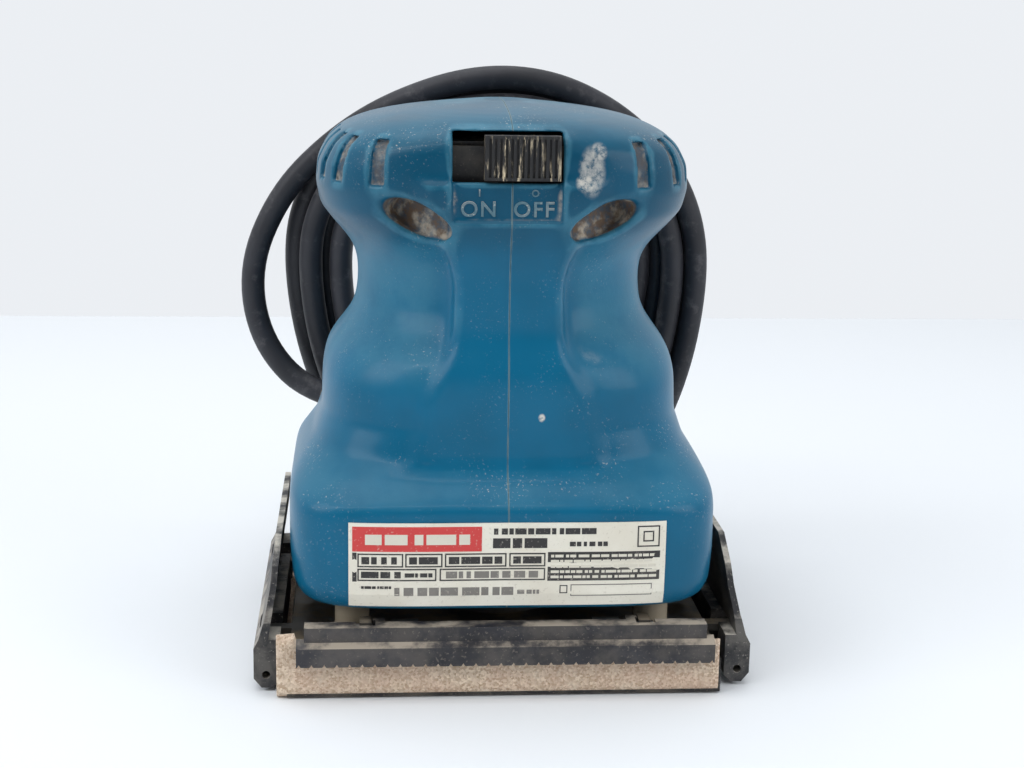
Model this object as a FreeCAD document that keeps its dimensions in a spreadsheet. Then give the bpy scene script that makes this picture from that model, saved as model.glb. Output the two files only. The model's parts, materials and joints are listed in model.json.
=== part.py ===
import FreeCAD, Part
import math
import os
import Sketcher
from FreeCAD import Placement, Rotation, Vector

# Orbital palm sander. +Z is up, the front is -Y, and the origin is on the underside of the abrasive sheet,
# below the motor axis. All sizes are in millimetres.

doc = FreeCAD.newDocument("orbital_sander")
dims = doc.addObject("Spreadsheet::Sheet", "Dims")

DIMENSIONS = [
    ("orbit_radius", 0.8, "offset of the pad's axis from the motor's"),
    ("sheet_width", 114, "abrasive sheet, left to right"),
    ("sheet_shift", 1.6, "abrasive sheet, clamped a little to the left of the middle"),
    ("sheet_half_depth", 51, "abrasive sheet, middle to its folded end"),
    ("sheet_thick", 0.5, "abrasive sheet"),
    ("flap_top", 18, "height of the folded ends"),
    ("pad_half_width", 56, "rubber pad"),
    ("pad_half_depth", 50.4, "rubber pad"),
    ("pad_top", 9.5, "top of the rubber pad"),
    ("plate_thick", 2, "metal base plate"),
    ("box_radius", 20, "bearing box on the base plate"),
    ("box_top", 20.5, "top of the bearing box"),
    ("leg_across", 39.5, "rubber legs, left and right of the middle"),
    ("leg_along", 35, "rubber legs, front and rear of the middle"),
    ("leg_radius", 4.5, "rubber legs"),
    ("leg_top", 27.4, "shoulder of the rubber legs"),
    ("pivot_along", 45.5, "clamp pins, from the pad's middle"),
    ("pivot_height", 17.5, "clamp pins"),
    ("pin_radius", 1, "clamp and lever pins"),
    ("pin_bore", 1.08, "bore that turns on a pin"),
    ("clamp_width", 107, "clamp bars"),
    ("tooth_pitch", 3.2, "teeth of the clamp bars"),
    ("ear_across", 36, "clamp ears on the base plate"),
    ("arm_across", 32.6, "arms of the clamp bars"),
    ("lever_across", 61.5, "lever pins, from the middle"),
    ("lever_height", 4.5, "lever pins"),
    ("lever_length", 90, "side levers, front to rear"),
    ("lug_along", 28, "lever lugs of the base plate"),
    ("wall", 2.5, "housing wall"),
    ("shaft_radius", 5, "armature shaft"),
    ("shaft_top_radius", 3.5, "armature shaft in the upper bearing"),
    ("core_bottom", 62, "armature and field cores"),
    ("core_top", 96, "armature and field cores"),
    ("armature_radius", 17, "armature core"),
    ("field_bore", 17.6, "field core"),
    ("field_radius", 29.5, "field core"),
    ("fan_radius", 38, "fan"),
    ("fan_bottom", 35, "fan"),
    ("fan_height", 11, "fan"),
    ("brush_height", 110.5, "middle of the carbon brushes"),
    ("knob_left", -7, "switch knob at rest"),
    ("knob_width", 18.8, "switch knob"),
    ("knob_bottom", 132.2, "switch knob"),
    ("knob_tall", 11, "switch knob"),
    ("face", 44.5, "front face of the head"),
    ("cord_radius", 3.5, "cord"),
    ("coil_centre_x", 4.5, "standing coil of cord"),
    ("coil_centre_z", 96, "standing coil of cord"),
    ("coil_half_width", 65.5, "outside of the coil"),
    ("coil_upper", 59, "coil above its widest place"),
    ("coil_band", 22, "coil from inside to outside"),
    ("coil_depth", 15, "coil from front to rear"),
    ("coil_front", 61.5, "foot of the coil behind the motor axis"),
    ("coil_lean", 4.7, "lean of the coil in degrees"),
    ("plug_face", -8, "where the cord enters the plug"),
    ("plug_across", 88.5, "plug behind the motor axis"),
    ("plug_height", 8.5, "middle of the plug above the floor"),
]

for row, (alias, value, note) in enumerate(DIMENSIONS, start=1):
    dims.set("A%d" % row, note)
    dims.set("B%d" % row, str(value))
    dims.setAlias("B%d" % row, alias)
doc.recompute()


def size(alias):
    return float(dims.get(alias))


NODES = []


def node(thing, name):
    """Make an object a sub-part: its label names its file."""
    thing.Label = name
    NODES.append(thing)
    return thing


def bind(thing, **expressions):
    for path, text in expressions.items():
        thing.setExpression(path.replace("__", "."), str(text))


def place(thing, x="0", y="0", z="0", axis=None):
    if axis == "x":
        thing.Placement = Placement(Vector(), Rotation(Vector(0, 1, 0), 90))
    elif axis == "y":
        thing.Placement = Placement(Vector(), Rotation(Vector(1, 0, 0), -90))
    bind(thing, Placement__Base__x=x, Placement__Base__y=y, Placement__Base__z=z)
    return thing


def box(length, width, height, x, y, z):
    """A box from its lowest corner."""
    thing = doc.addObject("Part::Box", "box")
    bind(thing, Length=length, Width=width, Height=height)
    return place(thing, x, y, z)


def cylinder(radius, height, x="0", y="0", z="0", axis=None):
    thing = doc.addObject("Part::Cylinder", "cylinder")
    bind(thing, Radius=radius, Height=height)
    return place(thing, x, y, z, axis)


def cone(radius_one, radius_two, height, x="0", y="0", z="0", axis=None):
    thing = doc.addObject("Part::Cone", "cone")
    bind(thing, Radius1=radius_one, Radius2=radius_two, Height=height)
    return place(thing, x, y, z, axis)


def fuse(things):
    joined = doc.addObject("Part::MultiFuse", "joined")
    joined.Shapes = things
    return joined


def cut(base, tools):
    tool = tools[0] if len(tools) == 1 else fuse(tools)
    result = doc.addObject("Part::Cut", "cut")
    result.Base = base
    result.Tool = tool
    return result


def tube(outer, inner, height, x="0", y="0", z="0", axis=None):
    return cut(cylinder(outer, height, x, y, z, axis), [cylinder(inner, height, x, y, z, axis)])


def feature(shape, name):
    thing = doc.addObject("Part::Feature", "feature")
    thing.Shape = shape
    return node(thing, name)


def new_body():
    return doc.addObject("PartDesign::Body", "body")


def origin_item(body, role):
    return [item for item in body.Origin.OriginFeatures if item.Role == role][0]


def outline(body, role, points, values):
    """A closed sketch on an origin plane; each corner is held by a pair of expressions."""
    sketch = body.newObject("Sketcher::SketchObject", "sketch")
    sketch.AttachmentSupport = [(origin_item(body, role), "")]
    sketch.MapMode = "FlatFace"
    count = len(points)
    for number in range(count):
        start = Vector(*values[number], 0)
        end = Vector(*values[(number + 1) % count], 0)
        sketch.addGeometry(Part.LineSegment(start, end), False)
    for number in range(count):
        sketch.addConstraint(Sketcher.Constraint("Coincident", number, 2, (number + 1) % count, 1))
    for number, (across, up) in enumerate(points):
        for kind, text, value in (("DistanceX", across, values[number][0]), ("DistanceY", up, values[number][1])):
            made = sketch.addConstraint(Sketcher.Constraint(kind, -1, 1, number, 1, value))
            sketch.setExpression("Constraints[%d]" % made, str(text))
    return sketch


def evaluate(text):
    """The value of an expression on the sheet, for a sketch's first drawing."""
    probe = doc.addObject("App::FeaturePython", "probe")
    probe.addProperty("App::PropertyFloat", "Value")
    probe.setExpression("Value", str(text))
    probe.recompute()
    value = float(probe.Value)
    doc.removeObject(probe.Name)
    return value


def drawn(body, role, points):
    values = [(evaluate(across), evaluate(up)) for across, up in points]
    return outline(body, role, points, values)


def pad(body, sketch, length):
    """Extrude a sketch to both sides of its plane."""
    thing = body.newObject("PartDesign::Pad", "pad")
    thing.Profile = sketch
    thing.Midplane = True
    bind(thing, Length=length)
    sketch.Visibility = False
    return thing


def pocket(body, sketch, length):
    thing = body.newObject("PartDesign::Pocket", "pocket")
    thing.Profile = sketch
    thing.Midplane = True
    bind(thing, Length=length)
    return thing


PAD_Y = "-Dims.orbit_radius"
SIDES = (-1, 1)
CORNERS = [(across, along) for across in SIDES for along in SIDES]

# ---------------------------------------------------------------- housing

# Height, half width, depth to the front, depth to the rear and roundness (2 is an ellipse) of the outer skin.
STATIONS = [
    (23.0, 52.4, 48.6, 48.2, 6.0),
    (24.5, 54.2, 50.4, 49.8, 6.5),
    (28.0, 55.3, 51.3, 50.7, 7.0),
    (36.0, 55.9, 51.6, 51.0, 7.0),
    (47.0, 56.0, 51.6, 51.0, 6.6),
    (50.0, 55.7, 51.0, 50.4, 6.0),
    (52.5, 55.0, 49.2, 49.2, 5.2),
    (56.0, 53.4, 46.0, 47.0, 4.2),
    (61.0, 50.2, 43.8, 46.0, 3.5),
    (68.0, 47.7, 43.2, 45.6, 3.1),
    (80.0, 47.4, 43.0, 45.2, 3.0),
    (84.5, 46.4, 42.6, 44.6, 2.8),
    (88.5, 43.6, 41.8, 42.8, 2.5),
    (93.0, 38.8, 41.0, 40.8, 2.2),
    (100.0, 38.0, 40.8, 40.2, 2.2),
    (108.0, 38.0, 41.0, 40.4, 2.2),
    (112.5, 39.8, 41.6, 42.0, 2.3),
    (117.0, 44.4, 42.8, 44.6, 2.5),
    (122.0, 48.0, 44.2, 47.2, 2.8),
    (128.0, 49.2, 44.5, 48.4, 3.0),
    (134.0, 48.7, 44.5, 47.8, 3.0),
    (139.0, 46.0, 44.4, 45.0, 3.0),
    (142.0, 42.6, 43.6, 41.6, 2.8),
    (144.5, 37.0, 41.4, 36.4, 2.6),
    (147.0, 26.0, 34.0, 26.0, 2.3),
    (148.6, 14.0, 22.0, 15.0, 2.1),
    (149.3, 6.0, 9.0, 6.0, 2.0),
]


def skin_at(height):
    """Half width, front, rear and roundness at a height, in straight steps between the stations."""
    if height <= STATIONS[0][0]:
        return STATIONS[0][1:]
    for low, high in zip(STATIONS, STATIONS[1:]):
        if height <= high[0]:
            share = (height - low[0]) / (high[0] - low[0])
            return tuple(a + share * (b - a) for a, b in zip(low[1:], high[1:]))
    return (0.5, 0.5, 0.5, 2.0)


def half_section(height, values):
    """The right half of a section, closed along the seam."""
    half_width, front, rear, power = values
    steps = 8
    points = []
    for number in range(-steps, steps + 1):
        angle = number / steps * math.pi / 2
        across = half_width * max(math.cos(angle), 0.0) ** (2 / power)
        depth = front if angle < 0 else rear
        along = math.copysign(depth * abs(math.sin(angle)) ** (2 / power), angle)
        points.append(Vector(across, along, height))
    points[0] = Vector(0, -front, height)
    points[-1] = Vector(0, rear, height)
    curve = Part.BSplineCurve()
    curve.interpolate(points, InitialTangent=Vector(1, 0, 0), FinalTangent=Vector(-1, 0, 0))
    seam = Part.LineSegment(points[-1], points[0])
    return Part.Wire([curve.toShape(), seam.toShape()])


def half_skin(offset=0.0, heights=None):
    """The right half of the housing's outer form, grown by an offset in plan."""
    wires = []
    for height, half_width, front, rear, power in STATIONS:
        if heights is None or heights[0] <= height <= heights[1]:
            wires.append(half_section(height, (half_width + offset, front + offset, rear + offset, power)))
    return Part.makeLoft(wires, True, True)


def half_cavity():
    """The right half of the hollow: the skin moved in by the wall, also where it slopes."""
    wall = size("wall")
    wires = []
    heights = [station[0] for station in STATIONS if station[0] < 144]
    for height in [22.0] + heights[1:] + [146.3]:
        here = skin_at(height)
        above = skin_at(height + wall)
        below = skin_at(height - wall)
        extents = [min(here[n] - wall, above[n], below[n]) for n in range(3)]
        wires.append(half_section(height, extents + [here[3]]))
    return Part.makeLoft(wires, True, True)


def block(x_range, y_range, z_range):
    low = Vector(x_range[0], y_range[0], z_range[0])
    return Part.makeBox(x_range[1] - low.x, y_range[1] - low.y, z_range[1] - low.z, low)


def drum(radius, z_range, x=0.0, y=0.0):
    return Part.makeCylinder(radius, z_range[1] - z_range[0], Vector(x, y, z_range[0]))


WIDE = (-80, 80)
LEG_WEB = (28.0, 31.0)
LOWER_WEB = (49.5, 52.0)
LOWER_COLLAR = (49.5, 58.0)
CORE_WEBS = [(66.0, 68.0), (86.0, 88.0)]
UPPER_WEB = (119.5, 122.0)
UPPER_COLLAR = (119.5, 126.4)
SCREWS = [(44, 36), (38, 72), (34.5, 106), (20, 135.5)]
BOSS_RADIUS = 4.5
SCREW_HEAD_X = 12.0
SCREW_SHANK = 1.6
SCREW_END_X = -11.0
WINDOW_X = (-14.4, 12.6)
WINDOW_Z = (131.6, 143.8)
PANEL_Z = (121.7, 131.6)
WIRE_CHANNEL = (-18.0, 31.0)
GUARD_ROOT = Vector(-24.0, 42.6, 53.0)
GUARD_LENGTH = 26.0
CORD_LEAD = [(-30.5, 44.8, 53.4), (-51.5, 52, 54.7), (-67.5, 58, 69.8), (-71.5, 59.2, 93), (-62, 58.5, 116),
             (-46, 57.5, 132.5), (-28, 56.5, 144), (-8, 56, 150)]
CORD_TAIL = [(41, 66, 52), (36, 76, 27), (17, 85, 12), (-8, 88.5, 8.5)]
GUARD_WAY = (Vector(*CORD_LEAD[1]) - Vector(*CORD_LEAD[0])).normalize()
GUARD_COLLAR = (-8.0, -5.2)
SHEATH_START = -24.0
CLAMP_SPOT = GUARD_ROOT - GUARD_WAY * 18
CLAMP_ACROSS = Vector(0, 0, 1).cross(GUARD_WAY).normalize()
CLAMP_SCREW_REACH = 4.9


def webs(form):
    """Webs, collars and screw bosses inside one half, as one shape within the skin."""
    bearing = 13.0
    sleeve = 11.6
    collar_wall = 2.6
    pieces = []
    legs = form.common(block(WIDE, WIDE, LEG_WEB))
    legs = legs.cut(drum(size("fan_radius") + 3, LEG_WEB))
    for across, along in CORNERS:
        spot = (across * size("leg_across"), along * size("leg_along") - size("orbit_radius"))
        legs = legs.cut(drum(4.7, LEG_WEB, *spot))
    pieces.append(legs)
    lower = form.common(block(WIDE, WIDE, LOWER_WEB)).fuse(drum(bearing + collar_wall, LOWER_COLLAR))
    pieces.append(lower.cut(drum(bearing, LOWER_COLLAR)))
    for web in CORE_WEBS:
        pieces.append(form.common(block(WIDE, WIDE, web)).cut(drum(size("field_radius"), web)))
    upper = form.common(block(WIDE, (-20, 60), UPPER_WEB)).fuse(drum(sleeve + collar_wall, UPPER_COLLAR))
    pieces.append(upper.cut(drum(sleeve, UPPER_COLLAR)))
    for along, height in SCREWS:
        boss = Part.makeCylinder(BOSS_RADIUS, 60, Vector(0, along, height), Vector(1, 0, 0))
        pieces.append(form.common(boss))
    inside = pieces[0].multiFuse(pieces[1:])
    return inside.common(block((0, 80), WIDE, (0, 160)))


def vent_cutters():
    """Upright slots round the side of the head, four to the front and four to the rear."""
    cutters = []
    slot_width = 2.6
    half_width, front, rear, power = skin_at(131.0)
    for along in (-37.0, -30.0, -21.0, -10.5, 3.0, 14.5, 25.0, 33.5):
        depth = front if along < 0 else rear
        across = half_width * (1 - abs(along / depth) ** power) ** (1 / power)
        slope_x = (across / half_width) ** (power - 1) / half_width
        slope_y = math.copysign(abs(along / depth) ** (power - 1) / depth, along)
        way = math.degrees(math.atan2(slope_y, slope_x))
        slot = Part.makeBox(14, slot_width, 12.6, Vector(-9, -slot_width / 2, 0))
        slot.Placement = Placement(Vector(across, along, 125.2), Rotation(Vector(0, 0, 1), way))
        cutters.append(slot)
    return cutters


def oval_cutter():
    """A slanted oval air pocket under the head; its outer end is the higher one."""
    radius = 3.6
    bar = Part.makeBox(9, 20, 2 * radius, Vector(-4.5, -10, -radius))
    ends = [Part.makeCylinder(radius, 20, Vector(x, -10, 0), Vector(0, 1, 0)) for x in (-4.5, 4.5)]
    oval = bar.multiFuse(ends)
    turn = Rotation(Vector(0, 0, 1), 38).multiply(Rotation(Vector(0, 1, 0), -22))
    oval.Placement = Placement(Vector(27, -34, 119.0), turn)
    return oval


def housing_half(side):
    form = half_skin()
    cavity = half_cavity()
    shell = form.cut(cavity).fuse(webs(form))
    shell = shell.cut(drum(size("field_radius") + 0.02, (size("core_bottom"), size("core_top"))))
    shell = shell.cut(Part.makeCompound(vent_cutters() + [oval_cutter()]))
    if side < 0:
        shell = shell.mirror(Vector(0, 0, 0), Vector(1, 0, 0))
    tools = [block(WINDOW_X, (-60, -34), WINDOW_Z),
             block((WINDOW_X[0] - 0.3, WINDOW_X[1] + 0.3), (-60, -size("face") + 0.6), PANEL_Z)]
    for along, height in SCREWS:
        start = SCREW_END_X - 1
        shank = Part.makeCylinder(SCREW_SHANK + 0.05, 60, Vector(start, along, height), Vector(1, 0, 0))
        head = Part.makeCylinder(3.7, 60, Vector(SCREW_HEAD_X, along, height), Vector(1, 0, 0))
        tools += [shank, head]
    tools.append(Part.makeCylinder(3.2, 66, Vector(WIRE_CHANNEL[0], WIRE_CHANNEL[1], 60)))
    tools.append(Part.makeCylinder(6.7, 40, GUARD_ROOT - GUARD_WAY * 8, GUARD_WAY))
    tools.append(Part.makeCylinder(8.7, 3.4, GUARD_ROOT + GUARD_WAY * (GUARD_COLLAR[0] - 0.3), GUARD_WAY))
    tools.append(Part.makeCylinder(3.7, 18, GUARD_ROOT + GUARD_WAY * (SHEATH_START - 1), GUARD_WAY))
    for end in SIDES:
        spot = CLAMP_SPOT + CLAMP_ACROSS * CLAMP_SCREW_REACH * end
        tools.append(drum(1.3, (49.0, 53.0), spot.x, spot.y))
    return shell.cut(Part.makeCompound(tools))


def build_housing():
    feature(housing_half(-1), "housing_left")
    feature(housing_half(1), "housing_right")


def build_rating_label():
    """A thin plate that follows the front of the base."""
    thickness = 0.35
    grown = half_skin(thickness, (23.5, 51))
    plain = half_skin(0.0, (23.5, 51))
    plate = grown.cut(plain)
    plate = plate.fuse(plate.mirror(Vector(0, 0, 0), Vector(1, 0, 0)))
    plate = plate.common(block((-40.3, 40.3), (-60, 0), (24.6, 46.9))).removeSplitter()
    feature(plate, "rating_label")


def build_housing_screws():
    screws = []
    for along, height in SCREWS:
        length = SCREW_HEAD_X - SCREW_END_X
        shank = cylinder(SCREW_SHANK, length, SCREW_END_X, along, height, "x")
        head = cylinder(3.4, 2.4, SCREW_HEAD_X, along, height, "x")
        slot = box(1.2, 1.0, 5.0, SCREW_HEAD_X + 1.5, along - 0.5, height - 2.5)
        cross = box(1.2, 5.0, 1.0, SCREW_HEAD_X + 1.5, along - 2.5, height - 0.5)
        screws.append(cut(fuse([shank, head]), [slot, cross]))
    node(fuse(screws), "housing_screws")


# ---------------------------------------------------------------- switch

def build_switch():
    ribs = 14
    back = "-Dims.face + 2.7"
    cap = box("Dims.knob_width", 3.2, "Dims.knob_tall", "Dims.knob_left", "-Dims.face - 0.5",
              "Dims.knob_bottom")
    grooves = []
    for number in range(1, ribs):
        x = "Dims.knob_left + Dims.knob_width * %d / %d - 0.3" % (number, ribs)
        grooves.append(box(0.6, 0.8, "Dims.knob_tall - 1.6", x, "-Dims.face - 0.6", "Dims.knob_bottom + 0.8"))
    stem = box(10, "4", 7, -2.6, back, 134.2)
    node(cut(fuse([cap, stem]), grooves), "switch_knob")
    plate = box(35.5, 1, 9.2, -15, "-Dims.face + 6.7", 130.8)
    peg = box(5, 5, 4, -0.2, "-Dims.face + 7.7", 133.6)
    node(fuse([plate, peg]), "switch_slide_plate")
    case = box(30, 14, 17, -15, "-Dims.face + 8.9", 124)
    slot = box(15.4, 6, 4.8, -8.2, "-Dims.face + 8.4", 133.2)
    tabs = [box(1, 5, 4, x, "-Dims.face + 22.9", 126) for x in (-10, 9)]
    node(cut(fuse([case] + tabs), [slot]), "switch_body")
    node(box(16, 8, 13, 5, 26, 124.5), "noise_capacitor")


# ---------------------------------------------------------------- motor

def bearing(name, axis_y, bottom, height, inner, outer, ball):
    """A ball bearing: outer ring on one body, inner ring and balls on the other."""
    middle = "(%s + %s) / 2" % (inner, outer)
    raceway = "%s + (%s) / 2" % (bottom, height)
    land = 0.45 * ball

    def groove(clearance):
        ring = doc.addObject("Part::Torus", "groove")
        bind(ring, Radius1=middle, Radius2=ball + clearance)
        return place(ring, "0", axis_y, raceway)

    outer_ring = tube(outer, "%s + %s" % (middle, land), height, "0", axis_y, bottom)
    node(cut(outer_ring, [groove(0.3)]), name + "_outer_ring")
    inner_ring = tube("%s - %s" % (middle, land), inner, height, "0", axis_y, bottom)
    node(cut(inner_ring, [groove(0.02)]), name + "_inner_ring")
    balls = []
    count = 8
    for number in range(count):
        ball_thing = doc.addObject("Part::Sphere", "ball")
        bind(ball_thing, Radius=ball)
        angle = 360 / count * number
        place(ball_thing, "(%s) * cos(%g deg)" % (middle, angle),
              "%s + (%s) * sin(%g deg)" % (axis_y, middle, angle), raceway)
        balls.append(ball_thing)
    node(fuse(balls), name + "_balls")


def build_bearings():
    bearing("upper_bearing", "0", "120", "6", "Dims.shaft_top_radius + 0.02", "9.5", 1.6)
    bearing("lower_bearing", "0", "50", "7.8", "Dims.shaft_radius + 0.02", "12.98", 2.2)
    bearing("eccentric_bearing", PAD_Y, "12", "8", "6.02", "13.98", 2.2)
    node(tube("11.58", "9.52", "6.2", "0", "0", "119.9"), "upper_bearing_sleeve")


def build_armature():
    lower = cylinder("Dims.shaft_radius", "92.6", "0", "0", "24.4")
    upper = cylinder("Dims.shaft_top_radius", "9.6", "0", "0", "117")
    node(fuse([lower, upper]), "armature_shaft")
    slots = []
    count = 12
    for number in range(count):
        slot = doc.addObject("Part::Box", "slot")
        bind(slot, Length=5, Width=2, Height="Dims.core_top - Dims.core_bottom")
        turn = Rotation(Vector(0, 0, 1), 360 / count * number)
        slot.Placement = Placement(turn.multVec(Vector(13, -1, size("core_bottom"))), turn)
        slots.append(slot)
    core = tube("Dims.armature_radius", "Dims.shaft_radius + 0.02", "Dims.core_top - Dims.core_bottom", "0", "0",
                "Dims.core_bottom")
    node(cut(core, slots), "armature_core")
    rings = [tube("Dims.armature_radius - 2", "Dims.shaft_radius + 0.5", "3.2", "0", "0",
                  "Dims.core_bottom - 3.3"),
             tube("Dims.armature_radius - 2", "Dims.shaft_radius + 0.5", "7.4", "0", "0", "Dims.core_top + 0.1")]
    node(fuse(rings), "armature_winding")
    drum_part = tube("10", "Dims.shaft_radius + 0.02", "12.4", "0", "0", "104.4")
    cuts = []
    for number in range(12):
        gap = doc.addObject("Part::Box", "gap")
        bind(gap, Length=2, Width=0.5, Height=10.4)
        turn = Rotation(Vector(0, 0, 1), 30 * number)
        gap.Placement = Placement(turn.multVec(Vector(8.6, -0.25, 106.4)), turn)
        cuts.append(gap)
    node(cut(drum_part, cuts), "commutator")


def build_field():
    ring = tube("Dims.field_radius", "Dims.field_bore", "Dims.core_top - Dims.core_bottom", "0", "0",
                "Dims.core_bottom")
    node(ring, "field_core")
    coils = [tube("27", "19", "6.9", "0", "0", "Dims.core_top + 0.1"),
             tube("27", "19", "6.9", "0", "0", "Dims.core_bottom - 7")]
    node(fuse(coils), "field_coils")


def build_brushes():
    holders = []
    brushes = []
    for side in SIDES:
        outer = box(21.5, 10, 9.4, 11.5 if side > 0 else -33, -5, "Dims.brush_height - 4.7")
        hollow = box(20.9, 6.4, 7, 11.5 if side > 0 else -32.4, -3.2, "Dims.brush_height - 3.5")
        holders.append(cut(outer, [hollow]))
        brushes.append(box(13.6, 6, 6.6, 10.4 if side > 0 else -24, -3, "Dims.brush_height - 3.3"))
    node(fuse(holders), "brush_holders")
    node(fuse(brushes), "carbon_brushes")
    rings = []
    for side in SIDES:
        for number in range(5):
            ring = doc.addObject("Part::Torus", "ring")
            bind(ring, Radius1=2.3, Radius2=0.45)
            rings.append(place(ring, side * (25 + 1.7 * number), "0", "Dims.brush_height", "x"))
    node(fuse(rings), "brush_springs")


def build_fan():
    hub = tube("9", "Dims.shaft_radius + 0.02", "Dims.fan_height", "0", "0", "Dims.fan_bottom")
    disc = tube("Dims.fan_radius", "8", "1.6", "0", "0", "Dims.fan_bottom + Dims.fan_height - 1.6")
    blades = []
    count = 14
    for number in range(count):
        blade = doc.addObject("Part::Box", "blade")
        bind(blade, Length="Dims.fan_radius - 16.5", Width=1.6, Height="Dims.fan_height - 1")
        turn = Rotation(Vector(0, 0, 1), 360 / count * number)
        blade.Placement = Placement(turn.multVec(Vector(16, -0.8, size("fan_bottom"))), turn)
        blades.append(blade)
    node(fuse([hub, disc] + blades), "fan")
    disc = tube("42", "16", "1.2", "0", "0", "47.6")
    clearance = box("40", "40", "3", "-38", "29", "46.5")
    node(cut(disc, [clearance]), "baffle_plate")


def build_eccentric():
    """The pin is off the motor axis; the counterweight is on the other side of it."""
    pin = cylinder("6", "11.5", "0", PAD_Y, "12.3")
    flange = cylinder("8", "1.2", "0", PAD_Y, "22.2")
    hub = cylinder("10", "9", "0", "0", "23.4")
    bore = cylinder("Dims.shaft_radius + 0.02", "9", "0", "0", "24.4")
    node(cut(fuse([pin, flange, hub]), [bore]), "eccentric")
    ring = tube("30", "10.05", "8", "0", "0", "24.2")
    away = box("62", "31", "10", "-31", "-31", "23.2")
    node(cut(ring, [away]), "counterweight")


# ---------------------------------------------------------------- pad

def build_base_plate():
    middle = "Dims.pad_top"
    plate = box("2 * Dims.pad_half_width - 1", "2 * Dims.pad_half_depth - 1", "Dims.plate_thick",
                "0.5 - Dims.pad_half_width", PAD_Y + " + 0.5 - Dims.pad_half_depth", middle)
    pieces = [plate, cylinder("Dims.box_radius", "Dims.box_top - Dims.pad_top", "0", PAD_Y, middle)]
    holes = [cylinder("14", "10", "0", PAD_Y, "11.8")]
    for across, along in CORNERS:
        pieces.append(box(3, 5, "Dims.pivot_height + 2 - Dims.pad_top", "%d * Dims.ear_across - 1.5" % across,
                          "%s + %d * Dims.pivot_along - 2.5" % (PAD_Y, along), middle))
        holes.append(cylinder("Dims.pin_radius + 0.02", "5", "%d * Dims.ear_across - 2.5" % across,
                              "%s + %d * Dims.pivot_along" % (PAD_Y, along), "Dims.pivot_height", "x"))
        lug_y = "%s + %d * Dims.lug_along - 2" % (PAD_Y, along)
        start = "%d * (Dims.lever_across + Dims.pad_half_width - 6) / 2" % across
        pieces.append(box("Dims.lever_across - Dims.pad_half_width + 8", 4, "Dims.plate_thick",
                          "%s - (Dims.lever_across - Dims.pad_half_width + 8) / 2 + %d" % (start, across),
                          lug_y, middle))
        pieces.append(box(2, 4, "Dims.pad_top - Dims.lever_height + 1",
                          "%d * Dims.lever_across - 1" % across, lug_y, "Dims.lever_height"))
        pieces.append(cylinder("2.2", "4", "%d * Dims.lever_across" % across, lug_y, "Dims.lever_height", "y"))
        holes.append(cylinder("Dims.pin_radius + 0.02", "6", "%d * Dims.lever_across" % across,
                              lug_y + " - 1", "Dims.lever_height", "y"))
        holes.append(cylinder("1.55", "4", "%d * Dims.leg_across" % across,
                              "%s + %d * Dims.leg_along" % (PAD_Y, along), "9"))
        holes.append(cylinder("2.05", "4", "%d * 24" % across, "%s + %d * 36" % (PAD_Y, along), "9"))
    for number in range(4):
        angle = 45 + 90 * number
        holes.append(cylinder("1.3", "6", "17 * cos(%d deg)" % angle, "%s + 17 * sin(%d deg)" % (PAD_Y, angle),
                              "15"))
    node(cut(fuse(pieces), holes), "base_plate")


def build_retainer():
    holes = []
    screws = []
    for number in range(4):
        angle = 45 + 90 * number
        spot = ("17 * cos(%d deg)" % angle, "%s + 17 * sin(%d deg)" % (PAD_Y, angle))
        holes.append(cylinder("1.35", "2", spot[0], spot[1], "Dims.box_top - 0.5"))
        screws.append(fuse([cylinder("1.28", "5.5", spot[0], spot[1], "Dims.box_top - 5"),
                            cylinder("2.2", "1.0", spot[0], spot[1], "Dims.box_top + 0.5")]))
    ring = tube("Dims.box_radius", "12.6", "0.5", "0", PAD_Y, "Dims.box_top")
    node(cut(ring, holes), "bearing_retainer")
    node(fuse(screws), "retainer_screws")


def build_rubber_pad():
    body = new_body()
    corners = [("%s * Dims.pad_half_width" % x, "%s * Dims.pad_half_depth" % y)
               for x, y in ((-1, -1), (1, -1), (1, 1), (-1, 1))]
    slab = body.newObject("PartDesign::Pad", "slab")
    slab.Profile = drawn(body, "XY_Plane", corners)
    bind(slab, Length="Dims.pad_top - Dims.sheet_thick")
    body.Tip = slab
    place(body, "0", PAD_Y, "Dims.sheet_thick")
    tools = []
    for across, along in CORNERS:
        tools.append(cylinder("3.5", "3", "%d * Dims.leg_across" % across,
                              "%s + %d * Dims.leg_along" % (PAD_Y, along), "Dims.pad_top - 2.5"))
        tools.append(cylinder("2.05", "8", "%d * 24" % across, "%s + %d * 36" % (PAD_Y, along), "3"))
    node(cut(body, tools), "rubber_pad")


def build_sheet():
    body = new_body()
    half = "Dims.sheet_half_depth"
    inner = "(Dims.sheet_half_depth - Dims.sheet_thick)"
    points = [("-" + half, 0), (half, 0), (half, "Dims.flap_top"), (inner, "Dims.flap_top"),
              (inner, "Dims.sheet_thick"), ("-" + inner, "Dims.sheet_thick"), ("-" + inner, "Dims.flap_top"),
              ("-" + half, "Dims.flap_top")]
    body.Tip = pad(body, drawn(body, "YZ_Plane", points), "Dims.sheet_width")
    place(body, "-Dims.sheet_shift", PAD_Y, "0")
    node(body, "abrasive_sheet")


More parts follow.
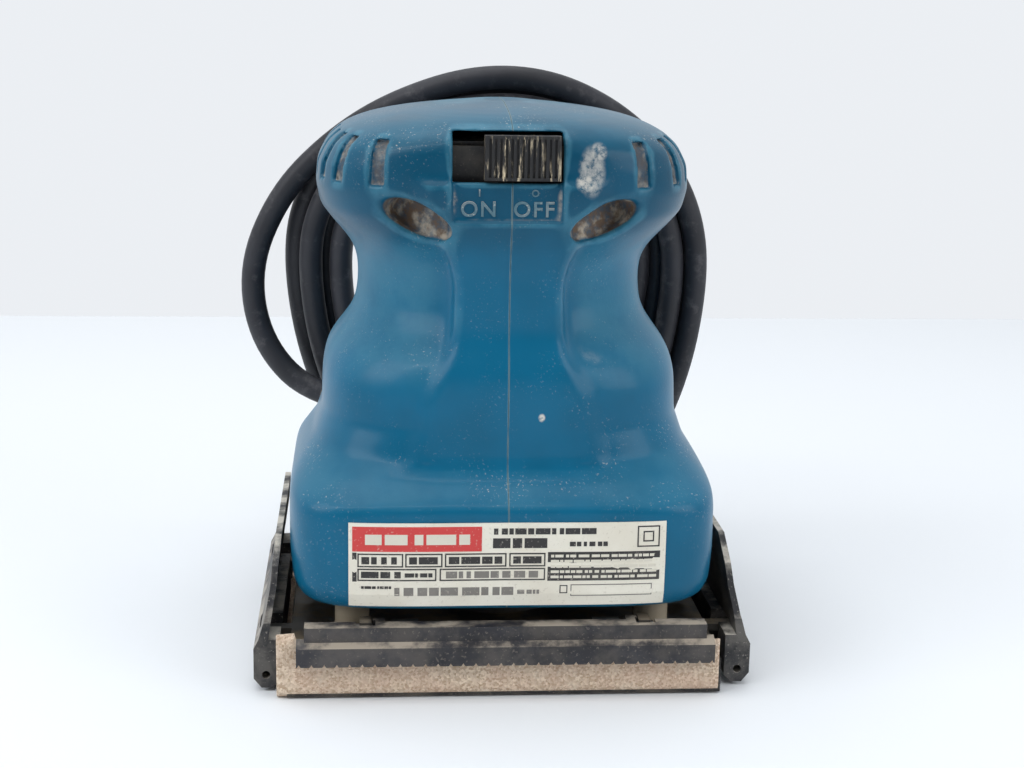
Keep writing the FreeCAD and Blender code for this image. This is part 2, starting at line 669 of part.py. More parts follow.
def build_legs():
    legs = []
    screws = []
    pad_screws = []
    for across, along in CORNERS:
        x = "%d * Dims.leg_across" % across
        y = "%s + %d * Dims.leg_along" % (PAD_Y, along)
        foot = cone("6", "Dims.leg_radius", "4", x, y, "11.5")
        column = cylinder("Dims.leg_radius", "Dims.leg_top - 15.5", x, y, "15.5")
        stud = cylinder("2.5", "6", x, y, "Dims.leg_top - 0.1")
        top = cylinder("4.5", "2", x, y, "32")
        legs.append(cut(fuse([foot, column, stud, top]), [cylinder("1.55", "7.2", x, y, "11")]))
        screws.append(fuse([cylinder("3.2", "2", x, y, "7.4"), cylinder("1.5", "8.5", x, y, "9.3")]))
        spot = ("%d * 24" % across, "%s + %d * 36" % (PAD_Y, along))
        pad_screws.append(fuse([cylinder("3.6", "1.6", spot[0], spot[1], "11.5"),
                                cylinder("2", "8", spot[0], spot[1], "3.6")]))
    node(fuse(legs), "flexible_legs")
    node(fuse(screws), "leg_screws")
    node(fuse(pad_screws), "pad_screws")


def build_pins():
    clamp_pins = []
    lever_pins = []
    clamp_springs = []
    lever_springs = []
    for side in SIDES:
        y = "%s + %d * Dims.pivot_along" % (PAD_Y, side)
        clamp_pins.append(cylinder("Dims.pin_radius", "2 * Dims.ear_across + 5", "-Dims.ear_across - 2.5", y,
                                   "Dims.pivot_height", "x"))
        x = "%d * Dims.lever_across" % side
        lever_pins.append(cylinder("Dims.pin_radius", "2 * Dims.lug_along + 16",
                                   x, PAD_Y + " - Dims.lug_along - 8", "Dims.lever_height", "y"))
        for end in SIDES:
            clamp_springs.append(tube("2", "Dims.pin_radius + 0.1", "7", "%d * 26 - 3.5" % end, y,
                                      "Dims.pivot_height", "x"))
            lever_springs.append(tube("2", "Dims.pin_radius + 0.1", "4", x,
                                      "%s + %d * (Dims.lug_along + 4.6) - 2" % (PAD_Y, end),
                                      "Dims.lever_height", "y"))
    node(fuse(clamp_pins), "clamp_pins")
    node(fuse(lever_pins), "lever_pins")
    node(fuse(clamp_springs), "clamp_springs")
    node(fuse(lever_springs), "lever_springs")


def build_clamp_bar(name, side):
    """A toothed bar that swings about its pin; drawn about the pin, with the bar towards -Y."""
    body = new_body()
    bar = [(-5.8, -8), (-8.6, -7.6), (-9, -7), (-9, -2.5), (-5.8, -0.9)]
    pad(body, drawn(body, "YZ_Plane", bar), "Dims.clamp_width")
    tooth = [("-Dims.clamp_width / 2 - 0.1", -8.1), ("-Dims.clamp_width / 2 + 1.5", -8.1),
             ("-Dims.clamp_width / 2 + 0.7", -6.7)]
    notch = pocket(body, drawn(body, "XZ_Plane", tooth), 40)
    row_of_teeth = body.newObject("PartDesign::LinearPattern", "teeth")
    row_of_teeth.Originals = [notch]
    row_of_teeth.Direction = (origin_item(body, "X_Axis"), [""])
    row_of_teeth.Occurrences = 34
    bind(row_of_teeth, Length="Dims.tooth_pitch * 33")
    body.Tip = row_of_teeth
    y = "%s + %d * Dims.pivot_along" % (PAD_Y, side)
    if side > 0:
        body.Placement = Placement(Vector(), Rotation(Vector(0, 0, 1), 180))
    place(body, "0", y, "Dims.pivot_height")
    wall_y = "%s + %d * (Dims.pivot_along + 6.4) - 0.6" % (PAD_Y, side)
    flange_y = "%s + %d * (Dims.pivot_along + 4.7) - 2.3" % (PAD_Y, side)
    pieces = [body, box("Dims.clamp_width - 4", 1.2, "5.2", "2 - Dims.clamp_width / 2", wall_y,
                        "Dims.pivot_height - 2.9"),
              box("Dims.clamp_width - 4", 4.6, 1.4, "2 - Dims.clamp_width / 2", flange_y,
                  "Dims.pivot_height + 0.9")]
    bores = []
    for end in SIDES:
        x = "%d * Dims.arm_across - 1.5" % end
        bores.append(box(5, 4, 4, "%d * Dims.ear_across - 2.5" % end,
                         "%s + %d * (Dims.pivot_along + 3.1) - 2" % (PAD_Y, side), "Dims.pivot_height - 1"))
        arm_y = "%s + %d * (Dims.pivot_along + 3.5) - 3.5" % (PAD_Y, side)
        pieces.append(box(3, 7, 1.4, x, arm_y, "Dims.pivot_height + 0.9"))
        pieces.append(cylinder("2.3", "3", x, y, "Dims.pivot_height", "x"))
        bores.append(cylinder("Dims.pin_bore", "4", "%d * Dims.arm_across - 2" % end, y, "Dims.pivot_height",
                              "x"))
    node(cut(fuse(pieces), bores), name)


def build_lever(name, side):
    """A side lever: a low rail on its pin and a thin blade up the side of the housing."""
    body = new_body()
    points = [(-1.5, -3.5), (1.2, -3.5), (3.2, -1), (3.2, 7), (1.9, 9.5), (0.3, 15), (-1, 22), (-2, 33),
              (-3.6, 33), (-2.6, 22), (-1.4, 15), (-0.6, 9.5), (-3.5, 9.5), (-3.5, -1.5)]
    pad(body, drawn(body, "XZ_Plane", points), "Dims.lever_length")
    for end in SIDES:
        corner = [("%d * (Dims.lever_length / 2 + %d)" % (end, along), up)
                  for along, up in ((1, 12), (-2, 18), (-7, 27), (-16, 34), (1, 34))]
        body.Tip = pocket(body, drawn(body, "YZ_Plane", corner), 20)
    if side < 0:
        body.Placement = Placement(Vector(), Rotation(Vector(0, 0, 1), 180))
    place(body, "%d * Dims.lever_across" % side, PAD_Y, "Dims.lever_height")
    tools = [cylinder("Dims.pin_bore", "Dims.lever_length + 2", "%d * Dims.lever_across" % side,
                      PAD_Y + " - Dims.lever_length / 2 - 1", "Dims.lever_height", "y")]
    for end in SIDES:
        notch_x = "%d * (Dims.lever_across - 1.5) - 3.7" % side
        notch_y = "%s + %d * (Dims.lug_along + 2.2) - 5" % (PAD_Y, end)
        tools.append(box(7.4, 10, 14, notch_x, notch_y, 0.4))
    node(cut(body, tools), name)


# ---------------------------------------------------------------- cord

def build_guard():
    """A tapered rubber guard with a collar behind the wall and grooves along its taper."""
    root, collar_front = GUARD_COLLAR
    points = [Vector(0, 0, root), Vector(8.4, 0, root), Vector(8.4, 0, collar_front),
              Vector(6.5, 0, collar_front), Vector(6.5, 0, 3)]
    grooves = 5
    for number in range(grooves):
        low = 5 + 4 * number
        radius = 6.4 - 1.7 * low / GUARD_LENGTH
        points += [Vector(radius, 0, low), Vector(radius - 1, 0, low + 0.5), Vector(radius - 1, 0, low + 1.3),
                   Vector(radius - 0.1, 0, low + 1.8)]
    points += [Vector(4.6, 0, GUARD_LENGTH), Vector(0, 0, GUARD_LENGTH)]
    face = Part.Face(Part.makePolygon(points + [points[0]]))
    shape = face.revolve(Vector(0, 0, 0), Vector(0, 0, 1), 360)
    shape.Placement = Placement(GUARD_ROOT, Rotation(Vector(0, 0, 1), GUARD_WAY))
    start = Vector(*CORD_LEAD[0])
    bore = Part.makeCylinder(size("cord_radius"), 30, start, GUARD_WAY)
    feature(shape.cut(bore), "cord_guard")


def run_of_cord(points, name):
    """A tube along straight runs joined by tangent arcs, as large as the runs allow."""
    radius = size("cord_radius")
    corners = [Vector(*point) for point in points]
    edges = []
    here = corners[0]
    for before, corner, after in zip(corners, corners[1:], corners[2:]):
        back = (before - corner).normalize()
        on = (after - corner).normalize()
        turn = math.pi - back.getAngle(on)
        reach = 0.45 * min(before.distanceToPoint(corner), after.distanceToPoint(corner))
        bend = reach / math.tan(turn / 2)
        print(name, "bend radius", round(bend, 1), "turn", round(math.degrees(turn), 1))
        start = corner + back * reach
        end = corner + on * reach
        bisector = (back + on).normalize()
        middle = corner + bisector * (bend / math.cos(turn / 2) - bend)
        edges.append(Part.LineSegment(here, start).toShape())
        edges.append(Part.Arc(start, middle, end).toShape())
        here = end
    edges.append(Part.LineSegment(here, corners[-1]).toShape())
    path = Part.Wire(edges)
    way = corners[1] - corners[0]
    profile = Part.Wire([Part.Circle(corners[0], way, radius).toShape()])
    shape = path.makePipeShell([profile], True, False)
    share = shape.Volume / (math.pi * radius ** 2 * path.Length)
    print(name, "length", round(path.Length, 1), "volume share", round(share, 4))
    feature(shape, name)


def oval(half_width, upper, lower):
    """A closed egg outline in the XZ plane, widest at the origin's height."""
    wide = Vector(half_width, 0, 0)
    arcs = []
    for reach, first in ((upper, 0), (lower, math.pi)):
        if reach >= half_width:
            ellipse = Part.Ellipse(Vector(0, reach, 0), wide, Vector())
            low = first - math.pi / 2
        else:
            ellipse = Part.Ellipse(wide, Vector(0, reach, 0), Vector())
            low = first
        arcs.append(Part.Arc(ellipse, low, low + math.pi).toShape())
    wire = Part.Wire(arcs)
    wire.rotate(Vector(), Vector(1, 0, 0), 90)
    return wire


def build_coil():
    """The coiled cord as one closed ring, standing on its edge and leaning on the head."""
    half_width = size("coil_half_width")
    upper = size("coil_upper")
    lower = size("coil_centre_z")
    band = size("coil_band")
    depth = size("coil_depth")
    outer = Part.Face(oval(half_width, upper, lower)).extrude(Vector(0, depth, 0))
    inner = Part.Face(oval(half_width - band, upper - band, lower - band)).extrude(Vector(0, depth, 0))
    ring = outer.cut(inner)
    ring = ring.makeFillet(4.0, ring.Edges)
    centre = Vector(size("coil_centre_x"), 0, size("coil_centre_z"))
    ring.translate(centre)
    ring.rotate(Vector(), Vector(1, 0, 0), size("coil_lean"))
    ring.translate(Vector(0, size("coil_front"), 0))
    feature(ring, "cord_coil")


def build_plug():
    x = "Dims.plug_face"
    y = "Dims.plug_across"
    z = "Dims.plug_height"
    neck = cone("7", "4.4", "12", x + " - 12", y, z, "x")
    shell = doc.addObject("Part::Box", "shell")
    bind(shell, Length=22, Width=24, Height=16.6)
    place(shell, x + " - 32", y + " - 12", z + " - 8.3")
    rounded = doc.addObject("Part::Fillet", "rounded")
    rounded.Base = shell
    doc.recompute()
    rounded.Edges = [(number, 3.0, 3.0) for number in range(1, 13)]
    socket = cylinder("Dims.cord_radius", "6", x + " - 6", y, z, "x")
    node(cut(fuse([neck, rounded]), [socket]), "plug_body")
    blades = []
    for side in SIDES:
        blade = box("17", "1.5", "6.4", x + " - 49", "%s + %d * 6.35 - 0.75" % (y, side), z + " - 3.2")
        hole = cylinder("1.6", "3", x + " - 46", "%s + %d * 6.35 - 1.5" % (y, side), z, "y")
        blades.append(cut(blade, [hole]))
    node(fuse(blades), "plug_blades")


def build_clamp_and_wires():
    """The bar that grips the cord inside, its two screws, and the wires up to the switch."""
    bar = box(13, 5.6, 2.5, 0, 0, 0)
    turn = Rotation(Vector(1, 0, 0), CLAMP_ACROSS)
    corner = turn.multVec(Vector(-6.5, -2.8, 0)) + Vector(CLAMP_SPOT.x, CLAMP_SPOT.y, 56.4)
    place(bar, corner.x, corner.y, corner.z)
    bar.Placement = Placement(corner, turn)
    holes = []
    screws = []
    for end in SIDES:
        spot = CLAMP_SPOT + CLAMP_ACROSS * CLAMP_SCREW_REACH * end
        holes.append(cylinder("1.3", "4", spot.x, spot.y, "55.5"))
        screws.append(fuse([cylinder("1.25", "9", spot.x, spot.y, "50"),
                            cylinder("2.2", "1.6", spot.x, spot.y, "58.9")]))
    node(cut(bar, holes), "cord_clamp")
    node(fuse(screws), "cord_clamp_screws")
    sheath = Part.makeCylinder(size("cord_radius"), -SHEATH_START + GUARD_COLLAR[0],
                               GUARD_ROOT + GUARD_WAY * SHEATH_START, GUARD_WAY)
    wires = []
    route = [(-18, 31, 64), (-18, 31, 124.5), (-16, 18, 129), (-9.5, -14, 129)]
    for shift in (-1.0, 1.0):
        edges = []
        for start, end in zip(route, route[1:]):
            edges.append(Part.LineSegment(Vector(start[0] + shift, *start[1:]), Vector(end[0] + shift, *end[1:])))
        pieces = []
        for edge in edges:
            length = edge.length()
            way = edge.EndPoint - edge.StartPoint
            pieces.append(Part.makeCylinder(0.9, length, edge.StartPoint, way))
            pieces.append(Part.makeSphere(0.9, edge.EndPoint))
        wires.append(pieces[0].multiFuse(pieces[1:]))
    feature(Part.makeCompound(wires + [sheath]), "lead_wires")


build_housing()
build_rating_label()
build_housing_screws()
build_switch()
build_bearings()
build_armature()
build_field()
build_brushes()
build_fan()
build_eccentric()
build_base_plate()
build_retainer()
build_rubber_pad()
build_sheet()
build_legs()
build_pins()
build_clamp_bar("front_clamp_bar", -1)
build_clamp_bar("rear_clamp_bar", 1)
build_lever("left_lever", -1)
build_lever("right_lever", 1)
build_guard()
run_of_cord(CORD_LEAD, "cord_lead")
run_of_cord(CORD_TAIL, "cord_tail")
build_coil()
build_plug()
build_clamp_and_wires()

doc.recompute()
for thing in doc.Objects:
    if "Invalid" in thing.State or "Error" in thing.State:
        raise RuntimeError("failed: " + thing.Name + " " + thing.Label)
for thing in NODES:
    if thing.Shape.isNull() or not thing.Shape.isValid():
        raise RuntimeError("bad shape: " + thing.Label)

os.makedirs("parts", exist_ok=True)
for thing in NODES:
    thing.Shape.exportStep("parts/" + thing.Label + ".step")
print(len(NODES), "nodes written")
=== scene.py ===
"""Looks of the orbital palm sander: a sculpted two-half housing, its print, materials, the cord and the stage."""
import json
import math
import random

import bmesh
import bpy
import numpy as np
import openvdb
from mathutils import Matrix, Vector
from mathutils.bvhtree import BVHTree


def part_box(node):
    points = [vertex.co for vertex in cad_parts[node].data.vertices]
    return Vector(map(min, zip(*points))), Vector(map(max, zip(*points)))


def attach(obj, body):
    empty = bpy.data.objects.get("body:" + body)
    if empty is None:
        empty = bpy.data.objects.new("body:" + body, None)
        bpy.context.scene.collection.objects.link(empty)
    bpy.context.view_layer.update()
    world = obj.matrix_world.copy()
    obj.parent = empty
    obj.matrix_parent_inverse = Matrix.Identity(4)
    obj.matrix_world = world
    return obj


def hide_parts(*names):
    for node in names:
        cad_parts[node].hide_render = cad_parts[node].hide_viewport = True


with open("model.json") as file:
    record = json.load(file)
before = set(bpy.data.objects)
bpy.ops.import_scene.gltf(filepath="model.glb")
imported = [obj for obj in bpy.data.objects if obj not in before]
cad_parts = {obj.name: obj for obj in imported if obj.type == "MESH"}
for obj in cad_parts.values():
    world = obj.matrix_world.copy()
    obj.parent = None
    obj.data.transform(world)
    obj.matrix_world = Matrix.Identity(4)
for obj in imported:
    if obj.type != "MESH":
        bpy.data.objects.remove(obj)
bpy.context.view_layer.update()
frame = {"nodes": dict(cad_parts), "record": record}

MM = 0.001
SIDES = (-1, 1)
scene = bpy.context.scene


def add_object(name, data, *materials):
    """An object for a mesh, curve, light or camera, linked to the scene."""
    piece = bpy.data.objects.new(name, data)
    scene.collection.objects.link(piece)
    for material in materials:
        data.materials.append(material)
    return piece


def as_mesh(bm, name):
    """Turn a finished bmesh into a mesh and free it."""
    mesh = bpy.data.meshes.new(name)
    bm.to_mesh(mesh)
    bm.free()
    return mesh


def surface_of(node):
    """The faces of a CAD piece, ready for rays to be cast at them."""
    mesh = frame["nodes"][node].data
    return BVHTree.FromPolygons([vert.co for vert in mesh.vertices], [face.vertices for face in mesh.polygons])


# ---------------------------------------------------------------- camera and stage

def build_camera():
    """The photographer's place: in front, a little to the left and above, with a slight roll."""
    data = bpy.data.cameras.new("camera")
    data.lens = 62.5
    data.sensor_width = 36.0
    camera = add_object("camera", data)
    camera.location = (-0.036, -0.479, 0.181)
    turn = (Matrix.Rotation(math.radians(-4.83), 4, "Z") @ Matrix.Rotation(math.radians(77.1), 4, "X")
            @ Matrix.Rotation(math.radians(1.1), 4, "Z"))
    camera.rotation_euler = turn.to_euler()
    scene.camera = camera


def build_stage():
    """A pale floor; the pale wall behind it is the world's own light, so that the rear stays in view."""
    mesh = bpy.data.meshes.new("floor")
    floor_end = 0.47
    corners = [(-3, -2.5, 0), (3, -2.5, 0), (3, floor_end, 0), (-3, floor_end, 0)]
    mesh.from_pydata(corners, [], [(0, 1, 2, 3)])
    shade = Shade("floor", roughness=0.9)
    shade.set("Base Color", (0.79, 0.82, 0.85, 1))
    floor = add_object("floor", mesh, shade.material)


def area_light(name, place, target, size, power, colour=(1, 1, 1)):
    """A rectangular lamp at a place, turned to its target."""
    data = bpy.data.lights.new(name, "AREA")
    data.shape = "RECTANGLE"
    data.size, data.size_y = size
    data.energy = power
    data.color = colour
    lamp = add_object(name, data)
    lamp.location = place
    lamp.rotation_euler = (Vector(target) - Vector(place)).to_track_quat("-Z", "Y").to_euler()


def build_lights():
    """A pale world that is brighter behind the tool, and four lamps round it."""
    world = bpy.data.worlds.new("studio")
    world.use_nodes = True
    tree = world.node_tree
    background = tree.nodes["Background"]
    where = tree.nodes.new("ShaderNodeTexCoord")
    split = tree.nodes.new("ShaderNodeSeparateXYZ")
    tree.links.new(where.outputs["Generated"], split.inputs[0])
    behind = tree.nodes.new("ShaderNodeMapRange")
    behind.inputs["From Min"].default_value = -1.0
    behind.inputs["From Max"].default_value = 0.5
    behind.inputs["To Min"].default_value = 0.12
    behind.inputs["To Max"].default_value = 0.9
    tree.links.new(split.outputs["Y"], behind.inputs["Value"])
    tree.links.new(behind.outputs[0], background.inputs["Strength"])
    background.inputs["Color"].default_value = (0.93, 0.96, 1.0, 1)
    scene.world = world
    area_light("ceiling", (-0.1, 0.05, 1.25), (0, 0.05, 0), (1.3, 0.9), 6.5)
    area_light("window", (-1.1, -0.5, 0.9), (0, 0, 0.08), (0.9, 0.9), 8, (0.97, 0.985, 1.0))
    area_light("fill", (1.0, -0.7, 0.6), (0, 0, 0.08), (0.8, 0.8), 5)
    area_light("strip", (-0.25, -0.75, 1.0), (0, -0.03, 0.12), (0.9, 0.1), 1.8)
    scene.view_settings.view_transform = "Standard"
    scene.view_settings.look = "None"


# ---------------------------------------------------------------- material nodes

class Shade:
    """A material with a principled shader and short calls for the nodes that feed it."""

    def __init__(self, name, **values):
        self.material = bpy.data.materials.new(name)
        self.material.use_nodes = True
        self.tree = self.material.node_tree
        self.shader = self.tree.nodes["Principled BSDF"]
        names = {"roughness": "Roughness", "metallic": "Metallic", "coat": "Coat Weight",
                 "coat_roughness": "Coat Roughness", "specular": "Specular IOR Level"}
        for key, value in values.items():
            self.shader.inputs[names[key]].default_value = value
        self.coordinates = self.tree.nodes.new("ShaderNodeTexCoord")

    def set(self, socket, value):
        self.feed(self.shader.inputs[socket], value)

    def feed(self, socket, value):
        """Link a node's output to a socket, or store a plain value in it."""
        if isinstance(value, bpy.types.NodeSocket):
            self.tree.links.new(value, socket)
        elif value is not None:
            socket.default_value = value

    def node(self, kind, output, inputs, **settings):
        """Add a node, feed its inputs and give back one of its outputs."""
        made = self.tree.nodes.new("ShaderNode" + kind)
        for key, value in settings.items():
            setattr(made, key, value)
        for key, value in inputs.items():
            self.feed(made.inputs[key], value)
        return made.outputs[output]

    def math(self, operation, one, two=None, three=None, clamp=False):
        inputs = {0: one}
        if two is not None:
            inputs[1] = two
        if three is not None:
            inputs[2] = three
        return self.node("Math", 0, inputs, operation=operation, use_clamp=clamp)

    def noise(self, scale, detail=3.0, rough=0.55, stretch=(1, 1, 1), seed=0.0):
        """Noise fixed to the object; each seed shifts it to another place."""
        vector = self.coordinates.outputs["Object"]
        offset = (seed * 1.7, seed * 0.9, seed * 2.3)
        vector = self.node("Mapping", 0, {"Vector": vector, "Location": offset, "Scale": stretch})
        return self.node("TexNoise", "Fac", {"Vector": vector, "Scale": scale, "Detail": detail,
                                             "Roughness": rough})

    def voronoi(self, scale, output="Distance"):
        return self.node("TexVoronoi", output, {"Vector": self.coordinates.outputs["Object"], "Scale": scale})

    def ramp(self, value, low, high, start=0.0, end=1.0):
        """Go smoothly from start to end while the value goes from low to high."""
        return self.node("MapRange", 0, {"Value": value, "From Min": low, "From Max": high, "To Min": start,
                                         "To Max": end}, interpolation_type="SMOOTHSTEP")

    def mix(self, share, one, two):
        """Blend two colours; a share of 0 gives the first and 1 the second."""
        made = self.tree.nodes.new("ShaderNodeMix")
        made.data_type = "RGBA"
        self.feed(made.inputs[0], share)
        self.feed(made.inputs[6], one)
        self.feed(made.inputs[7], two)
        return made.outputs[2]

    def axis(self, name, which="Object"):
        """One part of the object place, in metres, or of the normal."""
        if which == "Normal":
            vector = self.node("NewGeometry", "Normal", {})
        else:
            vector = self.coordinates.outputs["Object"]
        return self.node("SeparateXYZ", name, {0: vector})

    def attribute(self, name):
        return self.node("Attribute", "Fac", {}, attribute_name=name)

    def bump(self, height, strength, distance):
        normal = self.node("Bump", "Normal", {"Height": height, "Strength": strength, "Distance": distance})
        self.set("Normal", normal)

    def upness(self):
        """0 on upright and downward faces, 1 on faces that look up."""
        return self.ramp(self.axis("Z", "Normal"), 0.05, 0.9)


def rgb(red, green, blue):
    """A display colour in 0-255 as a linear node colour."""
    def linear(part):
        part /= 255
        return part / 12.92 if part <= 0.04045 else ((part + 0.055) / 1.055) ** 2.4
    return (linear(red), linear(green), linear(blue), 1.0)


DUST = rgb(176, 164, 146)
PALE_DUST = rgb(205, 198, 186)
BROWN_DUST = rgb(104, 84, 66)


def dusty(name, colour, dark, dust=DUST, roughness=0.5, metallic=0.0, amount=0.5, grain=900.0, bump=0.12,
          low=0.42, fleck=0.25):
    """A used surface: colour that drifts, dust on faces that look up and in patches, and a fine grain."""
    shade = Shade(name, metallic=metallic)
    drift = shade.ramp(shade.noise(60.0, 4.0, seed=1.0), 0.35, 0.7)
    base = shade.mix(drift, colour, dark)
    patches = shade.ramp(shade.noise(85.0, 8.0, 0.65, seed=2.0), low, low + 0.22)
    flecks = shade.ramp(shade.noise(1400.0, 2.0, 0.5, seed=3.0), 0.6, 0.72)
    up = shade.math("MULTIPLY_ADD", shade.upness(), 0.85, 0.15)
    cover = shade.math("MULTIPLY", shade.math("MULTIPLY", patches, up), amount * 1.4, clamp=True)
    cover = shade.math("MAXIMUM", cover, shade.math("MULTIPLY", flecks, fleck))
    shade.set("Base Color", shade.mix(cover, base, dust))
    shade.set("Roughness", shade.math("MULTIPLY_ADD", cover, 0.9 - roughness, roughness))
    fine = shade.noise(grain, 4.0, 0.6, seed=4.0)
    shade.bump(shade.math("ADD", fine, shade.math("MULTIPLY", cover, 0.8)), bump, 0.0004)
    return shade.material


# ---------------------------------------------------------------- numbers of the housing's form, in millimetres

# Height, half width, depth to the front, depth to the rear and roundness (2 is an ellipse) of the outer skin.
STATIONS = np.array([
    (22.0, 51.6, 47.8, 47.4, 6.0),
    (23.0, 52.6, 49.0, 48.6, 6.0),
    (24.5, 54.2, 50.4, 49.8, 6.5),
    (28.0, 55.3, 51.3, 50.7, 7.0),
    (36.0, 55.9, 51.6, 51.0, 7.0),
    (47.0, 56.0, 51.6, 51.0, 6.6),
    (50.2, 55.9, 51.4, 50.8, 6.0),
    (52.5, 55.2, 49.6, 49.8, 5.2),
    (56.0, 53.4, 46.4, 47.6, 4.2),
    (61.0, 50.2, 43.9, 46.0, 3.5),
    (68.0, 47.9, 43.2, 45.6, 3.1),
    (80.0, 47.6, 43.2, 45.2, 2.9),
    (84.5, 46.4, 42.6, 44.4, 2.7),
    (88.5, 43.4, 39.6, 42.4, 2.35),
    (93.0, 39.0, 36.6, 40.4, 2.1),
    (100.0, 38.0, 35.6, 39.6, 2.05),
    (108.0, 38.0, 36.0, 39.8, 2.05),
    (112.5, 39.8, 38.2, 41.6, 2.2),
    (117.0, 44.4, 41.8, 44.6, 2.5),
    (122.0, 48.0, 44.0, 47.2, 2.8),
    (128.0, 49.2, 44.5, 48.4, 3.0),
    (134.0, 48.7, 44.5, 47.8, 3.0),
    (139.0, 46.0, 44.4, 45.0, 3.0),
    (142.0, 42.6, 43.6, 41.6, 2.8),
    (144.5, 37.0, 41.2, 36.4, 2.6),
    (146.5, 29.0, 36.5, 29.0, 2.4),
    (148.0, 19.0, 28.0, 19.5, 2.2),
    (149.0, 9.0, 15.0, 9.0, 2.1),
    (149.6, 0.1, 0.1, 0.1, 2.0)])
STEP = 0.69  # grid spacing
GRID_X = (-58.9, 59.0)
GRID_Y = (-54.0, 54.1)
GRID_Z = (20.0, 152.0)
WALL = 2.5
BOTTOM = 23.0
FORM_TOP = 149.2
SHARP_BLUR = 0.8  # how far the heights of the outline are blended, and further at the neck
NECK_BLUR = 3.4
NECK_Z = (72, 124)
# The ridge down the front, as heights with its half width and its depth to the front.
BAND_WIDTH = ([60, 76, 82, 89, 105, 112, 118, 126], [24.0, 20.5, 17.5, 14.4, 13.6, 15.2, 18.0, 22.0])
BAND_FRONT = ([60, 84, 93, 108, 118, 126], [43.0, 43.0, 41.3, 41.2, 43.2, 44.2])
BAND_Z = (62, 130)
BAND_REAR = -12
BAND_ROUNDING = 3.0
BOSS_RADIUS = 4.5
SCREW_HOLE = 1.75
SCREW_HEAD_HOLE = 3.7
SCREW_START_X = -11.5
SCREW_HEAD_X = 12
WINDOW_X = (-14.8, 12.5)
WINDOW_Z = (131.6, 143.8)
PANEL_Z = (121.7, 131.6)
PANEL_PLANE = -43.7
WINDOW_REAR = -33
AHEAD = -70  # clear of the front, where the cutting boxes start
SLOT_ROWS = (-39.0, -30.0, -21.0, -10.5, 3.0, 14.5, 25.0, 33.5)
SLOT_HALF_WIDTH = 1.9
SLOT_Z = (130.0, 141.2)
SLOT_DEPTH = 1.5
SLOT_REACH = 9
OVAL_CENTRE = (23.8, -41.0, 122.0)
OVAL_TURN = math.radians(32)
OVAL_TILT = math.radians(22)
OVAL_HALF_LENGTH = 9.0
OVAL_HALF_HEIGHT = 4.4
OVAL_DEPTH = 5.5
SCREWS = [(44, 36), (38, 72), (34.5, 106), (20, 135.5)]
GUARD_ROOT = Vector((-24.0, 42.6, 53.0))
CORD_LEAD = [(-30.5, 44.8, 53.4), (-51.5, 52, 54.7), (-67.5, 58, 69.8), (-71.5, 59.2, 93), (-62, 58.5, 116),
             (-46, 57.5, 132.5), (-28, 56.5, 144)]
CORD_TAIL = [(36, 76, 27), (17, 85, 12), (-8, 88.5, 8.5)]
GUARD_WAY = (Vector(CORD_LEAD[1]) - Vector(CORD_LEAD[0])).normalized()


def blurred(values, sigma, axis):
    """A Gaussian blur along one axis; the ends keep their values."""
    reach = max(1, int(round(3 * sigma)))
    weights = np.exp(-0.5 * (np.arange(-reach, reach + 1) / sigma) ** 2)
    weights = (weights / weights.sum()).astype(values.dtype)
    pads = [(0, 0)] * values.ndim
    pads[axis] = (reach, reach)
    padded = np.pad(values, pads, mode="edge")
    total = np.zeros_like(values)
    for number, weight in enumerate(weights):
        part = [slice(None)] * values.ndim
        part[axis] = slice(number, number + values.shape[axis])
        total += weight * padded[tuple(part)]
    return total


def smooth_union(one, two, reach):
    """Two fields joined, with the inner corner filled over a reach."""
    share = np.clip(0.5 + 0.5 * (two - one) / reach, 0, 1)
    return two + (one - two) * share - reach * share * (1 - share)


def smooth_cut(one, two, reach):
    """What is left of one after two is taken out, with a rounded edge."""
    return -smooth_union(-one, two, reach)


def as_distance(field):
    """Scale a field so that it grows by one for each millimetre."""
    slopes = np.gradient(field, STEP)
    return field / np.maximum(np.sqrt(sum(slope ** 2 for slope in slopes)), 0.05)


def box_field(x, y, z, low, high):
    """The distance from a box, given by its low and high corners."""
    fields = []
    for value, start, end in zip((x, y, z), low, high):
        fields.append(np.maximum(start - value, value - end))
    inside = np.maximum(np.maximum(fields[0], fields[1]), fields[2])
    outside = np.sqrt(sum(np.maximum(field, 0) ** 2 for field in fields))
    return np.where(inside > 0, outside, inside)


def rod_field(x, y, z, start, way, radius, low, high):
    """A cylinder from start along way, between two lengths."""
    rel = (x - start[0], y - start[1], z - start[2])
    along = rel[0] * way[0] + rel[1] * way[1] + rel[2] * way[2]
    square = rel[0] ** 2 + rel[1] ** 2 + rel[2] ** 2 - along ** 2
    radial = np.sqrt(np.maximum(square, 0)) - radius
    return np.maximum(radial, np.maximum(low - along, along - high))


def section_at(height):
    """Half width, front, rear and roundness of the outer skin at a height."""
    return [float(np.interp(height, STATIONS[:, 0], STATIONS[:, n])) for n in range(1, 5)]


